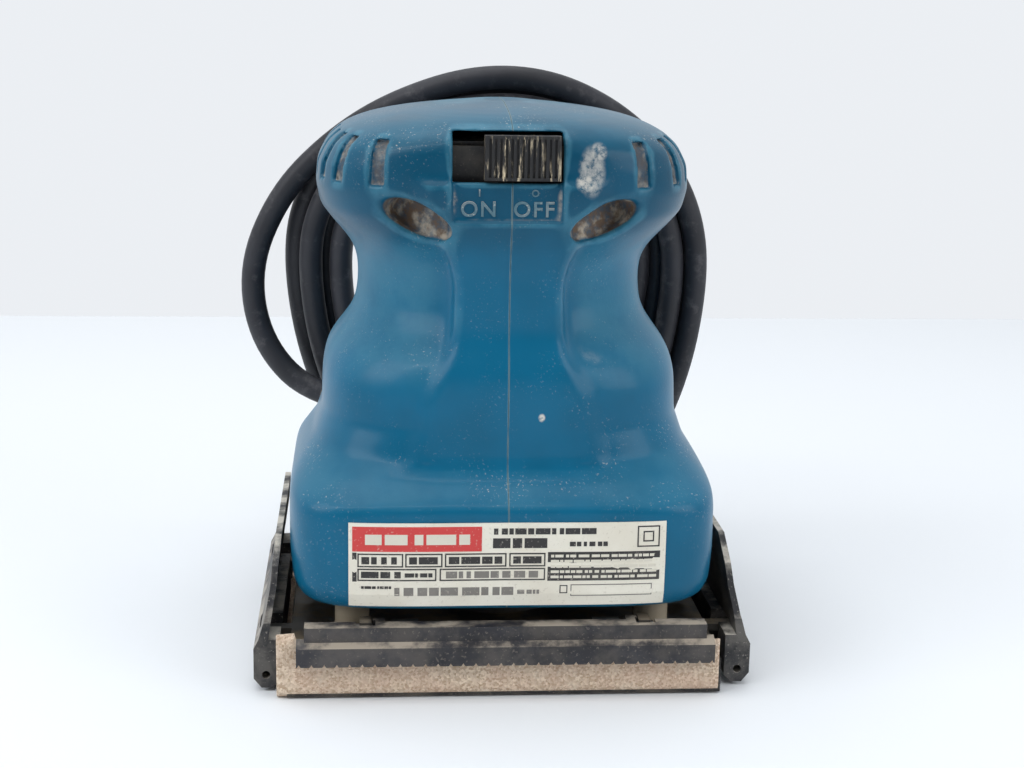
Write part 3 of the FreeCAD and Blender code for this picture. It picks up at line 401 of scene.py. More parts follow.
def slot_fields(x, y, z):
    """Upright slots round the sides of the head."""
    half_width, front, rear, power = section_at(134.0)
    total = None
    for along in SLOT_ROWS:
        depth = front if along < 0 else rear
        across = half_width * (1 - abs(along / depth) ** power) ** (1 / power)
        slope_x = (across / half_width) ** (power - 1) / half_width
        slope_y = math.copysign(abs(along / depth) ** (power - 1) / depth, along)
        length = math.hypot(slope_x, slope_y)
        way = (slope_x / length, slope_y / length)
        sideways = (np.abs(x) - across) * -way[1] + (y - along) * way[0]
        outward = (np.abs(x) - across) * way[0] + (y - along) * way[1]
        slot = np.maximum(np.abs(sideways) - SLOT_HALF_WIDTH, np.abs(outward) - SLOT_REACH)
        slot = np.maximum(slot, np.maximum(SLOT_Z[0] - z, z - SLOT_Z[1]))
        total = slot if total is None else np.minimum(total, slot)
    return total


def oval_field(x, y, z):
    """The slanted oval pocket under each side of the head; its outer end is the higher one."""
    rel = (np.abs(x) - OVAL_CENTRE[0], y - OVAL_CENTRE[1], z - OVAL_CENTRE[2])
    sideways = rel[0] * math.cos(OVAL_TURN) + rel[1] * math.sin(OVAL_TURN)
    inward = -rel[0] * math.sin(OVAL_TURN) + rel[1] * math.cos(OVAL_TURN)
    long = sideways * math.cos(OVAL_TILT) + rel[2] * math.sin(OVAL_TILT)
    short = -sideways * math.sin(OVAL_TILT) + rel[2] * math.cos(OVAL_TILT)
    oval = (np.sqrt((long / OVAL_HALF_LENGTH) ** 2 + (short / OVAL_HALF_HEIGHT) ** 2) - 1) * OVAL_HALF_HEIGHT
    return np.maximum(oval, inward - OVAL_DEPTH)


def outer_form(x, y, z):
    """The solid outer form: stacked rounded sections with the flat-sided ridge down the front."""
    heights = z[0, 0]
    column = []
    for number in range(1, 5):
        values = np.interp(heights, STATIONS[:, 0], STATIONS[:, number])
        crisp = blurred(values, SHARP_BLUR / STEP, 0)
        soft = blurred(values, NECK_BLUR / STEP, 0)
        share = np.clip(np.minimum(heights - NECK_Z[0], NECK_Z[1] - heights) / 8, 0, 1)
        column.append((crisp + (soft - crisp) * share).astype(np.float32)[None, None, :])
    half_width, front, rear, power = column
    depth = np.where(y < 0, front, rear)
    form = (np.abs(x) / half_width) ** power + (np.abs(y) / depth) ** power
    form = (form ** (1 / power) - 1) * np.minimum(half_width, depth)
    form = np.maximum(as_distance(form), z - FORM_TOP)
    band_front = blurred(np.interp(heights, *BAND_FRONT), 3.0, 0).astype(np.float32)[None, None, :]
    band_width = blurred(np.interp(heights, *BAND_WIDTH), 3.0, 0).astype(np.float32)[None, None, :]
    side = np.maximum(np.abs(x) - (band_width - BAND_ROUNDING), 0)
    ahead = np.maximum(-y - (band_front - BAND_ROUNDING), 0)
    band = np.sqrt(side ** 2 + ahead ** 2) - BAND_ROUNDING
    band = np.maximum(np.maximum(band, y - BAND_REAR), np.maximum(BAND_Z[0] - z, z - BAND_Z[1]))
    return smooth_union(form, band, 4.0)


def housing_cuts(x, y, z, form):
    """What is cut out of the shell, each with the rounding of its edge."""
    slots = np.maximum(slot_fields(x, y, z), -(form + SLOT_DEPTH))
    window = box_field(x, y, z, (WINDOW_X[0], AHEAD, WINDOW_Z[0]), (WINDOW_X[1], WINDOW_REAR, WINDOW_Z[1]))
    panel = box_field(x, y, z, (WINDOW_X[0], AHEAD, PANEL_Z[0]), (WINDOW_X[1], PANEL_PLANE, PANEL_Z[1] + 2))
    cuts = [(slots, 0.7), (window, 0.5), (panel, 0.5)]
    for along, height in SCREWS:
        off_axis = np.sqrt((y - along) ** 2 + (z - height) ** 2)
        cuts.append((np.maximum(off_axis - SCREW_HOLE, SCREW_START_X - x), 0.3))
        cuts.append((np.maximum(off_axis - SCREW_HEAD_HOLE, SCREW_HEAD_X - x), 0.6))
    cuts.append((rod_field(x, y, z, GUARD_ROOT, GUARD_WAY, 6.8, -8, 32), 0.6))
    return cuts


def housing_field():
    """The shell as a distance field on a grid, the form before any recess, and how sharply it folds."""
    x = np.arange(*GRID_X, STEP, dtype=np.float32)[:, None, None]
    y = np.arange(*GRID_Y, STEP, dtype=np.float32)[None, :, None]
    z = np.arange(*GRID_Z, STEP, dtype=np.float32)[None, None, :]
    smooth_form = outer_form(x, y, z)
    form = smooth_cut(smooth_form, oval_field(x, y, z), 1.4)
    cavity = form + WALL
    solid = -smooth_union(-form, z - BOTTOM, 1.0)
    shell = np.maximum(solid, -cavity)
    for along, height in SCREWS:
        boss = np.sqrt((y - along) ** 2 + (z - height) ** 2) - BOSS_RADIUS
        shell = smooth_union(shell, np.maximum(boss, form + 0.5), 1.0)
    for cut, rounding in housing_cuts(x, y, z, form):
        shell = smooth_cut(shell, cut, rounding)
        solid = smooth_cut(solid, cut, rounding)
    origin = np.array((x[0, 0, 0], y[0, 0, 0], z[0, 0, 0]))
    crease = solid
    for axis in range(3):
        crease = blurred(crease, 1.6, axis)
    return shell, smooth_form, solid - crease, origin


def sampled(field, origin, points):
    """Values of a field at points, between grid places."""
    place = (points - origin) / STEP
    base = np.clip(np.floor(place).astype(int), 0, np.array(field.shape) - 2)
    share = np.clip(place - base, 0, 1)
    total = np.zeros(len(points))
    for corner in range(8):
        bits = np.array(((corner >> 2) & 1, (corner >> 1) & 1, corner & 1))
        weight = np.prod(np.where(bits, share, 1 - share), axis=1)
        spot = base + bits
        total += weight * field[spot[:, 0], spot[:, 1], spot[:, 2]]
    return total


def housing_mesh():
    """The whole shell as one quad mesh, with a recess depth and a crease value at each corner."""
    shell, smooth_form, crease, origin = housing_field()
    grid = openvdb.FloatGrid()
    grid.copyFromArray(shell.astype(np.float32))
    points, quads = grid.convertToQuads(isovalue=0.0)[:2]
    points = points.astype(float) * STEP + origin
    depth = -sampled(smooth_form, origin, points)
    folds = sampled(crease, origin, points)
    return points, quads, depth, folds


def make_half(points, quads, depth, folds, side, name):
    """One half of the shell, cut at the seam and closed there."""
    gap = 0.05
    keep = (points[quads][:, :, 0] * side).max(axis=1) > -0.001
    used = quads[keep]
    ids, flat = np.unique(used, return_inverse=True)
    mesh = bpy.data.meshes.new(name)
    mesh.from_pydata((points[ids] * MM).tolist(), [], flat.reshape(used.shape).tolist())
    for label, values in (("recess", depth[ids]), ("fold", folds[ids])):
        layer = mesh.attributes.new(label, "FLOAT", "POINT")
        layer.data.foreach_set("value", values.astype(np.float32))
    bm = bmesh.new()
    bm.from_mesh(mesh)
    everything = bm.verts[:] + bm.edges[:] + bm.faces[:]
    cut = bmesh.ops.bisect_plane(bm, geom=everything, plane_co=(side * gap * MM, 0, 0), plane_no=(-side, 0, 0),
                                 clear_outer=True, dist=1e-7)
    edges = [item for item in cut["geom_cut"] if isinstance(item, bmesh.types.BMEdge)]
    bmesh.ops.recalc_face_normals(bm, faces=bm.faces[:])
    for face in bm.faces:
        face.smooth = True
    filled = bmesh.ops.triangle_fill(bm, edges=edges, use_beauty=True, use_dissolve=False)
    for item in filled["geom"]:
        if isinstance(item, bmesh.types.BMFace):
            item.smooth = False
    for edge in edges:
        if edge.is_valid:
            edge.smooth = False
    bmesh.ops.recalc_face_normals(bm, faces=bm.faces[:])
    bm.to_mesh(mesh)
    bm.free()
    return add_object(name, mesh)


def housing_material():
    """Satin moulded plastic: a grey haze, partly wear and partly painted sheen, on faces that look up or sideways
    and on the finger scoops, painted highlights on convex edges, dust in recesses, chips, splashes and a dusty
    seam.
    """
    shade = Shade("teal_plastic", specular=0.2, coat=0.13, coat_roughness=0.16)
    deep = rgb(0, 76, 104)
    teal = rgb(0, 88, 120)
    brighter_below = rgb(0, 110, 150)
    darker_head = rgb(0, 50, 72)
    wear_and_sheen_colour = rgb(66, 128, 152)
    base = shade.mix(shade.ramp(shade.noise(35.0, 3.0, seed=5.0), 0.35, 0.65), deep, teal)
    base = shade.mix(shade.ramp(shade.axis("Z"), 0.108, 0.122, 0.35, 0.0), base, brighter_below)
    base = shade.mix(shade.ramp(shade.axis("Z"), 0.112, 0.126, 0.0, 0.35), base, darker_head)
    up = shade.upness()
    sideways = shade.math("ABSOLUTE", shade.axis("X", "Normal"))
    wear = shade.ramp(shade.noise(48.0, 6.0, 0.6, seed=6.0), 0.36, 0.68)
    low = shade.ramp(shade.axis("Z"), 0.112, 0.124, 0.4, 0.34)
    # Partly dust and wear, partly painted sheen: faces that look up or to the sides are lightened towards a pale
    # grey-teal; the finger scoops are lightened by wear.
    wear_and_painted_sheen = shade.math("MAXIMUM", shade.math("MULTIPLY", up, low), shade.ramp(sideways, 0.45, 1.0, 0.0, 0.14))
    wear_and_painted_sheen = shade.math("MULTIPLY", wear_and_painted_sheen, shade.math("MULTIPLY_ADD", wear, 0.65, 0.35), clamp=True)
    scoops = shade.math("MULTIPLY", shade.ramp(shade.math("ABSOLUTE", shade.axis("X")), 0.0135, 0.021),
                        shade.ramp(shade.axis("Z"), 0.074, 0.088))
    scoops = shade.math("MULTIPLY", scoops, shade.ramp(shade.axis("Z"), 0.112, 0.121, 1.0, 0.0))
    worn = shade.ramp(shade.noise(75.0, 7.0, 0.65, seed=25.0), 0.3, 0.62, 0.35, 1.0)
    wear_and_painted_sheen = shade.math("MAXIMUM", wear_and_painted_sheen, shade.math("MULTIPLY", shade.math("MULTIPLY", scoops, worn), 0.5))
    base = shade.mix(wear_and_painted_sheen, base, wear_and_sheen_colour)
    # Painted highlight: convex edges, where the fold value is negative, are lightened to a pale cyan in broken
    # patches.
    edges = shade.ramp(shade.attribute("fold"), -0.26, -0.12, 1.0, 0.0)
    highlight_breakup = shade.ramp(shade.noise(110.0, 5.0, 0.6, seed=26.0), 0.34, 0.6, 0.25, 1.0)
    base = shade.mix(shade.math("MULTIPLY", shade.math("MULTIPLY", edges, highlight_breakup), 0.3), base, rgb(88, 152, 174))
    specks = shade.ramp(shade.noise(1500.0, 3.0, 0.6, seed=7.0), 0.6, 0.7)
    specks = shade.math("MULTIPLY", specks, shade.ramp(shade.noise(70.0, 5.0, seed=8.0), 0.45, 0.66))
    specks = shade.math("MULTIPLY", specks, shade.math("MULTIPLY_ADD", up, 0.45, 0.18))
    aside = shade.math("ABSOLUTE", shade.axis("X"))
    recess = shade.math("MULTIPLY", shade.ramp(shade.attribute("recess"), 1.0, 1.9),
                        shade.ramp(aside, 0.0150, 0.0160))
    fold = shade.ramp(shade.attribute("fold"), 0.12, 0.34)
    grit = shade.ramp(shade.noise(420.0, 5.0, 0.7, seed=9.0), 0.3, 0.62)
    pocket = shade.math("MULTIPLY", recess, shade.math("MULTIPLY_ADD", grit, 0.55, 0.4), clamp=True)
    corner = shade.math("MULTIPLY", shade.math("SUBTRACT", fold, recess, clamp=True), grit)
    x = shade.axis("X")
    seam = shade.ramp(shade.math("ABSOLUTE", x), 0.00012, 0.00034, 1.0, 0.0)
    seam = shade.math("MULTIPLY", seam, shade.ramp(shade.noise(220.0, 3.0, seed=10.0), 0.3, 0.6, 0.25, 0.75))
    dirt_colour = shade.mix(shade.ramp(shade.noise(260.0, 4.0, seed=11.0), 0.46, 0.68), BROWN_DUST, DUST)
    splash = splash_mask(shade)
    colour = shade.mix(specks, base, PALE_DUST)
    colour = shade.mix(shade.math("MULTIPLY", corner, 0.85), colour, shade.mix(0.5, dirt_colour, PALE_DUST))
    colour = shade.mix(pocket, colour, dirt_colour)
    colour = shade.mix(shade.math("MULTIPLY", seam, 0.8), colour, rgb(128, 146, 146))
    colour = shade.mix(splash, colour, rgb(222, 216, 204))
    shade.set("Base Color", colour)
    dull = shade.math("MAXIMUM", shade.math("MAXIMUM", pocket, splash), shade.math("MULTIPLY", wear_and_painted_sheen, 0.55))
    shade.set("Roughness", shade.math("MULTIPLY_ADD", dull, 0.5, 0.34))
    grain = shade.math("MULTIPLY", shade.noise(1700.0, 3.0, 0.6, seed=12.0), 0.5)
    lumps = shade.math("MULTIPLY", shade.math("MAXIMUM", pocket, splash), shade.noise(700.0, 4.0, 0.7, seed=13.0))
    shade.bump(shade.math("ADD", grain, shade.math("MULTIPLY", lumps, 2.5)), 0.16, 0.0004)
    return shade.material


def splash_mask(shade):
    """White paint splashes right of the window, a chip low on the front and a few small dots."""
    x = shade.axis("X")
    z = shade.axis("Z")
    front = shade.ramp(shade.axis("Y"), -0.036, -0.04)
    total = None
    # Across, height, half width and half height in metres, and how thick the paint is.
    spots = [(0.0196, 0.1345, 0.0034, 0.0062, 0.5), (0.0182, 0.1318, 0.0026, 0.0024, 0.72),
             (0.0212, 0.1392, 0.0022, 0.0024, 0.6), (0.0085, 0.0722, 0.0009, 0.0011, 0.9),
             (-0.0395, 0.0895, 0.0007, 0.0005, 0.9), (0.0228, 0.0915, 0.0052, 0.0062, 0.34)]
    for across, height, half_width, half_height, weight in spots:
        u = shade.math("DIVIDE", shade.math("SUBTRACT", x, across), half_width)
        v = shade.math("DIVIDE", shade.math("SUBTRACT", z, height), half_height)
        square = shade.math("ADD", shade.math("MULTIPLY", u, u), shade.math("MULTIPLY", v, v))
        spot = shade.ramp(square, 0.3, 1.3, weight, 0.0)
        total = spot if total is None else shade.math("MAXIMUM", total, spot)
    spray = shade.ramp(shade.noise(520.0, 6.0, 0.75, seed=14.0), 0.32, 0.62)
    return shade.math("MULTIPLY", shade.math("MULTIPLY", total, spray), front, clamp=True)


def build_housing():
    """Both halves of the housing, in the places of the CAD's own."""
    points, quads, depth, folds = housing_mesh()
    material = housing_material()
    for side, node in ((-1, "housing_left"), (1, "housing_right")):
        piece = make_half(points, quads, depth, folds, side, node + "_shell")
        piece.data.materials.append(material)
        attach(piece, "housing")
        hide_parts(node)


# ---------------------------------------------------------------- cord

COIL_CENTRE = (4.5, 96.0)
COIL_HALF_WIDTH = 65.5
COIL_UPPER = 59.0
COIL_LOWER = 96.0
COIL_FRONT = 61.5
COIL_LEAN = math.radians(4.7)
COIL_START = 98.0
COIL_TURNS = 4.38
COIL_LAYERS = (3.8, 11.3)  # depth of the front and the rear layer
COIL_INSET = 3.6  # from the coil's outside to the middle of the outermost turn
CHANGE_ZONE = 0.12  # share of a turn on each side of the foot in which it changes layer
END_ZONE = 0.3  # the last share of a turn, which bends out to the tail
POINTS_PER_TURN = 18
CORD_DIAMETER = 7.0


def coil_point(turn):
    """A place on the coil: the turns lie in two layers and change over at the foot."""
    angle = math.radians(COIL_START - 360 * turn)
    foot = (COIL_START + 90) / 360
    done = turn - foot
    count = math.floor(done + 0.5)
    share = min(max((done - count) / (2 * CHANGE_ZONE) + 0.5, 0), 1)
    share = share * share * (3 - 2 * share)
    lay = count + share
    rightness = 0.5 + 0.5 * math.cos(angle)
    step = 4.6 - 0.9 * rightness
    inset = COIL_INSET + step * (lay - (1 - rightness))
    inset += max(3.1 * (count + 0.5), 0) * math.sin(math.pi * share)
    here = COIL_LAYERS[count % 2]
    there = COIL_LAYERS[(count + 1) % 2]
    deep = here + (there - here) * share
    end = turn - (COIL_TURNS - END_ZONE)
    if end > 0:
        inset += 4.0 * end / END_ZONE
        deep += 7.0 * end / END_ZONE
    inset += 0.9 * math.sin(2.3 * angle + 1.9 * count)
    reach = COIL_UPPER if math.sin(angle) > 0 else COIL_LOWER
    across = math.cos(angle) * (COIL_HALF_WIDTH - inset)
    up = COIL_CENTRE[1] + math.sin(angle) * (reach - inset)
    y = deep * math.cos(COIL_LEAN) - up * math.sin(COIL_LEAN)
    z = up * math.cos(COIL_LEAN) + deep * math.sin(COIL_LEAN)
    return (COIL_CENTRE[0] + across, COIL_FRONT + y, z)


def cord_route():
    """The middle of the cord from the guard, round the coil and down to the plug."""
    coil = [coil_point(number / POINTS_PER_TURN) for number in range(int(COIL_TURNS * POINTS_PER_TURN) + 1)]
    return CORD_LEAD + coil + CORD_TAIL


def spline_curve(name, points, radius):
    """A round cord along points."""
    curve = bpy.data.curves.new(name, "CURVE")
    curve.dimensions = "3D"
    spline = curve.splines.new("NURBS")
    spline.points.add(len(points) - 1)
    for place, point in zip(spline.points, points):
        place.co = (point[0] * MM, point[1] * MM, point[2] * MM, 1)
    spline.order_u = 3
    spline.use_endpoint_u = True
    spline.resolution_u = 8
    curve.bevel_depth = radius * MM
    curve.bevel_resolution = 6
    curve.use_fill_caps = True
    return add_object(name, curve)


def build_cord():
    """The mains cord as one curve, which runs from the guard to the plug."""
    cord = spline_curve("mains_cord", cord_route(), CORD_DIAMETER / 2)
    shade = Shade("cord_rubber", specular=0.35)
    drift = shade.ramp(shade.noise(30.0, 3.0, seed=15.0), 0.35, 0.7)
    base = shade.mix(drift, rgb(38, 39, 44), rgb(54, 55, 61))
    scuff = shade.ramp(shade.noise(160.0, 7.0, 0.7, seed=16.0), 0.52, 0.72, 0.0, 0.4)
    shade.set("Base Color", shade.mix(scuff, base, rgb(112, 110, 112)))
    shade.set("Roughness", shade.math("MULTIPLY_ADD", scuff, 0.3, 0.5))
    shade.bump(shade.noise(900.0, 4.0, 0.6, seed=17.0), 0.1, 0.0003)
    cord.data.materials.append(shade.material)
    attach(cord, "housing")
    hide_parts("cord_lead", "cord_coil", "cord_tail")


# ---------------------------------------------------------------- print and lettering

def add_plate(bm, corners, low_y, surface, thickness):
    """A thin closed plate on the front: a rectangle in x and z, laid on a surface in columns."""
    x0, x1, z0, z1 = corners
    columns = max(1, int((x1 - x0) / 2.0))
    rings = []
    for number in range(columns + 1):
        x = x0 + (x1 - x0) * number / columns
        ring = []
        for z in (z0, z1):
            y = surface(x, z)
            ring.append(bm.verts.new((x * MM, (y - thickness) * MM, z * MM)))
            ring.append(bm.verts.new((x * MM, (y + low_y) * MM, z * MM)))
        rings.append(ring)
    for one, two in zip(rings, rings[1:]):
        bm.faces.new((one[0], two[0], two[2], one[2]))
        bm.faces.new((one[1], one[3], two[3], two[1]))
        bm.faces.new((one[0], one[1], two[1], two[0]))
        bm.faces.new((one[2], two[2], two[3], one[3]))
    first, last = rings[0], rings[-1]
    bm.faces.new((first[0], first[2], first[3], first[1]))
    bm.faces.new((last[0], last[1], last[3], last[2]))


def words(rng, x0, x1, z0, z1, letter):
    """A line of print as small blocks of uneven length."""
    plates = []
    x = x0
    while x < x1 - letter:
        length = min(letter * rng.choice((1.0, 1.4, 1.9, 2.6, 3.4)), x1 - x)
        plates.append((x, x + length, z0, z1))
        x += length + letter * rng.choice((0.35, 0.35, 0.8))
    return plates


def frame_lines(x0, x1, z0, z1, line):
    """The four sides of a printed box."""
    return [(x0, x1, z0, z0 + line), (x0, x1, z1 - line, z1), (x0, x0 + line, z0 + line, z1 - line),
            (x1 - line, x1, z0 + line, z1 - line)]


def build_label_print():
    """Blocks, boxes and bars on the rating plate, with no lettering."""
    low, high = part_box("rating_label")
    tree = surface_of("rating_label")

    def surface(x, z):
        """How far forward the plate is."""
        hit = tree.ray_cast(Vector((x * MM, low[1] - 0.01, z * MM)), Vector((0, 1, 0)))[0]
        return hit.y / MM

    left = low[0] / MM + 0.15
    top = high[2] / MM
    rng = random.Random(7)
    layers = {"red": [], "black": [], "grey": [], "cream": []}

    def at(u0, u1, v0, v1):
        """A rectangle given in millimetres from the plate's upper left corner."""
        return (left + u0, left + u1, top - v1, top - v0)

    layers["red"].append(at(0.8, 33.4, 0.9, 7.4))
    layers["cream"] += words(rng, *at(4.0, 30.4, 2.9, 5.6), 2.2)
    layers["black"] += words(rng, *at(36.4, 62.6, 1.4, 3.0), 1.1)
    layers["black"] += words(rng, *at(36.2, 51.6, 4.0, 6.6), 1.7)
    layers["black"] += words(rng, *at(55.7, 65.4, 5.0, 6.2), 0.8)
    layers["black"] += frame_lines(*at(73.0, 78.8, 1.0, 6.6), 0.35)
    layers["black"] += frame_lines(*at(74.5, 77.3, 2.4, 5.2), 0.35)
    for u0, u1 in ((2.1, 13.6), (14.1, 23.5), (24.1, 39.7), (40.4, 49.6)):
        layers["black"] += frame_lines(*at(u0, u1, 7.9, 11.5), 0.35)
        layers["black"] += words(rng, *at(u0 + 1.0, u1 - 1.0, 8.8, 10.7), 1.4)
    for u0, u1 in ((2.1, 22.0), (22.8, 49.6)):
        layers["black"] += frame_lines(*at(u0, u1, 11.9, 15.2), 0.35)
    layers["black"] += words(rng, *at(3.0, 13.0, 12.7, 14.4), 1.3)
    layers["black"] += words(rng, *at(14.0, 21.0, 13.1, 14.2), 0.7)
    layers["grey"] += words(rng, *at(24.4, 47.8, 12.7, 14.5), 1.1)
    layers["black"].append(at(0.8, 1.9, 7.7, 15.4))
    layers["black"].append(at(50.2, 79.0, 7.7, 15.4))
    for row in range(5):
        layers["cream"] += words(rng, *at(51.0, 78.2, 8.4 + 1.4 * row, 9.1 + 1.4 * row), 0.8)
    layers["grey"] += words(rng, *at(11.4, 41.6, 17.0, 19.2), 1.3)
    layers["black"] += words(rng, *at(3.0, 10.6, 16.6, 17.3), 0.5)
    layers["grey"] += words(rng, *at(42.6, 49.0, 17.8, 18.9), 0.7)
    layers["grey"] += frame_lines(*at(56.2, 77.2, 16.4, 19.6), 0.25)
    layers["black"] += frame_lines(*at(53.4, 55.4, 16.6, 18.8), 0.25)
    colours = {"red": rgb(205, 62, 60), "black": rgb(46, 44, 44), "grey": rgb(122, 118, 112),
               "cream": rgb(218, 213, 198)}
    heights = {"red": 0.05, "black": 0.06, "grey": 0.06, "cream": 0.1}
    for name, plates in layers.items():
        bm = bmesh.new()
        for corners in plates:
            add_plate(bm, corners, 0.15, surface, heights[name])
        bmesh.ops.recalc_face_normals(bm, faces=bm.faces[:])
        ink = dusty("print_" + name, colours[name], colours[name], PALE_DUST, 0.5, amount=0.5, low=0.5,
                    fleck=0.35, bump=0.03)
        piece = add_object("label_print_" + name, as_mesh(bm, "label_print_" + name), ink)
        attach(piece, "housing")


def build_switch_marks(material):
    """Raised marks on the panel under the switch."""
    size_for_height = 1.38  # the font's size for capitals one unit high
    marks = [("ON", -8.3, 124.9, 3.9), ("OFF", 5.4, 124.9, 3.9), ("I", -8.1, 129.0, 1.7), ("O", 5.7, 129.0, 1.7)]
    for text, x, z, height in marks:
        curve = bpy.data.curves.new("mark_" + text, "FONT")
        curve.body = text
        curve.align_x = "CENTER"
        curve.align_y = "CENTER"
        curve.size = height * size_for_height * MM
        curve.space_character = 1.15
        curve.extrude = 0.2 * MM
        curve.bevel_depth = 0.06 * MM
        curve.bevel_resolution = 1
        maker = add_object("maker", curve)
        bpy.context.view_layer.update()
        graph = bpy.context.evaluated_depsgraph_get()
        mesh = bpy.data.meshes.new_from_object(maker.evaluated_get(graph))
        bpy.data.objects.remove(maker)
        mesh.transform(Matrix.Translation((x * MM, (PANEL_PLANE + 0.02) * MM, z * MM))
                       @ Matrix.Rotation(math.pi / 2, 4, "X"))
        mesh.materials.clear()
        mesh.materials.append(material)
        mesh.name = "mark_" + text.lower() + "_" + str(int(z))
        piece = add_object(mesh.name, mesh)
        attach(piece, "housing")


# ---------------------------------------------------------------- abrasive sheet and crumbs

def build_sheet(material):
    """The abrasive sheet with rounded folds and a slight wave in its flaps."""
    low, high = (np.array(corner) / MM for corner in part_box("abrasive_sheet"))
    thickness = 0.5
    bend = 3.2  # radius of the folds
    flap = 18  # height of the folded ends
    crushed = 14  # height over which the clamps press the paper down
    outline = [(low[1], high[2])]
    outline += [(low[1], high[2] - step) for step in (4, 8, 12)]
    for number in range(7):
        angle = math.pi + number / 6 * math.pi / 2
        outline.append((low[1] + bend + bend * math.cos(angle), bend + bend * math.sin(angle)))
    for share in (0.2, 0.4, 0.6, 0.8):
        outline.append((low[1] + bend + share * (high[1] - low[1] - 2 * bend), 0.0))
    for number in range(7):
        angle = 1.5 * math.pi + number / 6 * math.pi / 2
        outline.append((high[1] - bend + bend * math.cos(angle), bend + bend * math.sin(angle)))
    outline += [(high[1], high[2] - step) for step in (12, 8, 4, 0)]
    middle = (low[1] + high[1]) / 2
    bm = bmesh.new()
    rows = []
    columns = 150
    for number in range(columns + 1):
        x = low[0] + (high[0] - low[0]) * number / columns
        outer, inner = [], []
        for y, z in outline:
            lift = min(z / flap, 1)
            wave = 0.22 * lift * (math.sin(x * 0.21 + z * 0.3) + 0.6 * math.sin(x * 0.57 + 1.0))
            side = -1 if y < middle else 1
            edge = 0.35 * math.sin(x * 0.33) * lift * lift
            if z > crushed and x > low[0] + 4.6:
                z = crushed + (z - crushed) * 0.4
            here = y - side * (0.25 + wave) * lift
            inset = thickness if abs(y - middle) > 40 else 0
            rise = thickness if z < 1 else 0
            sag = 0.4 * lift - 0.4 * edge * lift
            outer.append(bm.verts.new((x * MM, here * MM, (z - sag) * MM)))
            inner.append(bm.verts.new((x * MM, (here - side * inset) * MM, (z + rise - sag) * MM)))
        rows.append((outer, inner))
    count = len(outline)
    for (outer, inner), (outer_next, inner_next) in zip(rows, rows[1:]):
        for number in range(count - 1):
            bm.faces.new((outer[number], outer[number + 1], outer_next[number + 1], outer_next[number]))
            bm.faces.new((inner[number], inner_next[number], inner_next[number + 1], inner[number + 1]))
        for number in (0, count - 1):
            bm.faces.new((outer[number], outer_next[number], inner_next[number], inner[number]))
    for outer, inner in (rows[0], rows[-1]):
        for number in range(count - 1):
            bm.faces.new((outer[number], inner[number], inner[number + 1], outer[number + 1]))
    bmesh.ops.recalc_face_normals(bm, faces=bm.faces[:])
    for face in bm.faces:
        face.smooth = True
    piece = add_object("sanding_paper", as_mesh(bm, "sanding_paper"), material)
    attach(piece, "pad")
    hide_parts("abrasive_sheet")


def build_crumbs():
    """Caked dust: small lumps on the front edge of the base plate and at its corners."""
    rng = random.Random(11)
    tree = surface_of("base_plate")
    bm = bmesh.new()
    for number in range(520):
        corner = number % 2 == 0
        x = rng.uniform(36, 54) * rng.choice(SIDES) if corner else rng.uniform(-54, 54)
        y = rng.uniform(-50.5, -42.0) if corner else rng.uniform(-50.5, -46.5)
        hit = tree.ray_cast(Vector((x * MM, y * MM, 0.0125)), Vector((0, 0, -1)))[0]
        if hit is None or hit.z < 0.011:
            continue
        size = rng.uniform(0.25, 0.8) * (1.3 if corner else 1.0)
        made = bmesh.ops.create_icosphere(bm, subdivisions=1, radius=size * MM)
        squash = rng.uniform(0.45, 0.9)
        for vert in made["verts"]:
            jitter = Vector([rng.uniform(0.75, 1.2) for _ in range(3)])
            vert.co = Vector((vert.co.x * jitter.x, vert.co.y * jitter.y, vert.co.z * jitter.z * squash)) + hit
            vert.co.z += 0.1 * MM
    crumbs = dusty("crumbs", rgb(176, 158, 134), rgb(140, 122, 102), PALE_DUST, 0.9, amount=0.5)
    piece = add_object("dust_crumbs", as_mesh(bm, "dust_crumbs"), crumbs)
    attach(piece, "pad")


# ---------------------------------------------------------------- materials of the CAD parts

def metal(name, colour, roughness, dust_amount=0.3):
    """A used metal, a little darker where its colour drifts."""
    return dusty(name, colour, tuple(0.75 * part for part in colour[:3]) + (1,), DUST, roughness, 1.0, dust_amount,
                 1200.0, 0.08)


def knob_material():
    """Black ribs with pale dust drawn along them."""
    shade = Shade("knob_plastic", roughness=0.5)
    streaks = shade.ramp(shade.noise(900.0, 5.0, 0.7, stretch=(1, 1, 0.14), seed=21.0), 0.53, 0.64)
    worn = shade.ramp(shade.noise(160.0, 3.0, seed=22.0), 0.34, 0.6)
    cover = shade.math("MULTIPLY", streaks, worn)
    shade.set("Base Color", shade.mix(cover, rgb(26, 26, 28), rgb(206, 190, 160)))
    shade.bump(shade.noise(1200.0, 3.0, seed=23.0), 0.1, 0.0003)
    return shade.material


def abrasive_material():
    """Tan grit on paper: single grains, worn paler and redder patches."""
    shade = Shade("abrasive_paper", roughness=0.9)
    grains = shade.voronoi(1900.0, "Color")
    tone = shade.node("SeparateColor", 0, {0: grains})
    base = shade.mix(tone, rgb(184, 158, 132), rgb(238, 220, 198))
    patches = shade.ramp(shade.noise(90.0, 5.0, 0.6, seed=18.0), 0.35, 0.7)
    base = shade.mix(shade.math("MULTIPLY", patches, 0.4), base, rgb(196, 158, 138))
    clog = shade.ramp(shade.noise(240.0, 6.0, 0.7, seed=19.0), 0.55, 0.72, 0.0, 0.6)
    shade.set("Base Color", shade.mix(clog, base, rgb(232, 220, 202)))
    shade.bump(shade.voronoi(1900.0), 0.5, 0.0004)
    return shade.material


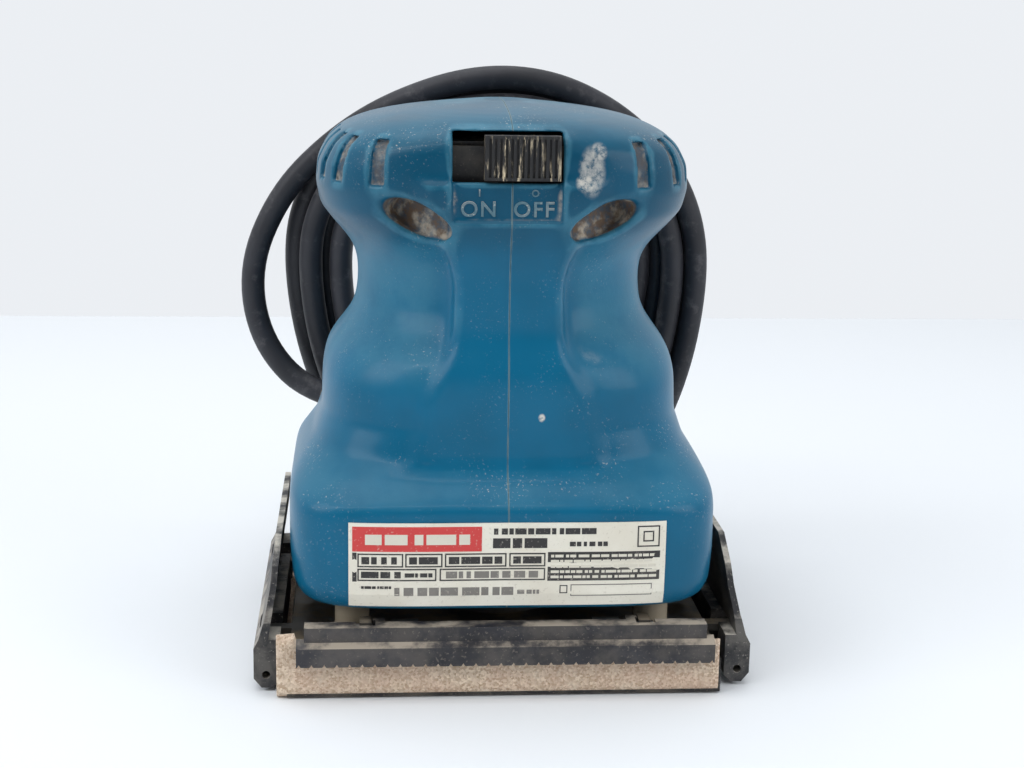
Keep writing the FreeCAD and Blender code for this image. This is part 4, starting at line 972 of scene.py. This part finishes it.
def paint_cad_parts():
    """Give every CAD piece the material of its slot, and build the sheet from the same grit."""
    black = dusty("black_plastic", rgb(34, 34, 37), rgb(24, 24, 27), DUST, 0.45, amount=0.45, fleck=0.2)
    clamp = dusty("clamp_black", rgb(46, 46, 52), rgb(28, 28, 33), rgb(158, 148, 134), 0.5, amount=0.75, low=0.4,
                  fleck=0.3)
    lever = dusty("lever_black", rgb(38, 38, 42), rgb(26, 26, 29), PALE_DUST, 0.5, amount=0.8, low=0.4, fleck=0.35)
    label = dusty("label_plate", rgb(232, 228, 214), rgb(222, 216, 200), rgb(158, 146, 124), 0.4, amount=0.35,
                  low=0.5, fleck=0.25, bump=0.03)
    steel = metal("steel", rgb(150, 150, 152), 0.4)
    alloy = metal("alloy", rgb(140, 138, 134), 0.55, 0.9)
    copper = metal("copper", rgb(180, 100, 62), 0.35)
    brass = metal("brass", rgb(196, 164, 92), 0.32)
    rubber = dusty("pad_rubber", rgb(44, 43, 44), rgb(30, 30, 31), DUST, 0.8, amount=0.7)
    leg = dusty("leg_rubber", rgb(196, 182, 158), rgb(160, 146, 122), PALE_DUST, 0.7, amount=0.6)
    carbon = dusty("carbon", rgb(30, 30, 31), rgb(20, 20, 21), DUST, 0.7, amount=0.1)
    cord = dusty("plug_rubber", rgb(40, 40, 44), rgb(30, 30, 33), DUST, 0.55, amount=0.3)
    grit = abrasive_material()
    build_sheet(grit)
    slots = {"black_plastic": black, "label": label, "black_steel": clamp, "steel": steel, "cast_alloy": alloy,
             "copper": copper, "carbon": carbon, "brass": brass, "pad_rubber": rubber, "leg_rubber": leg,
             "abrasive": grit, "cord_rubber": cord, "teal_housing": black}
    own = {"left_lever": lever, "right_lever": lever, "switch_knob": knob_material()}
    for entry in frame["record"]["subparts"]:
        name = entry["node"]
        piece = frame["nodes"][name]
        material = own.get(name, slots[entry["material_slot"]])
        if not piece.material_slots:
            piece.data.materials.append(material)
        for holder in piece.material_slots:
            holder.material = material


build_camera()
build_cord()
build_stage()
build_lights()
build_housing()
build_label_print()
build_switch_marks(dusty("mark_plastic", rgb(70, 108, 122), rgb(46, 92, 112), PALE_DUST, 0.6, amount=0.9,
                         low=0.38, fleck=0.5))
paint_cad_parts()
build_crumbs()
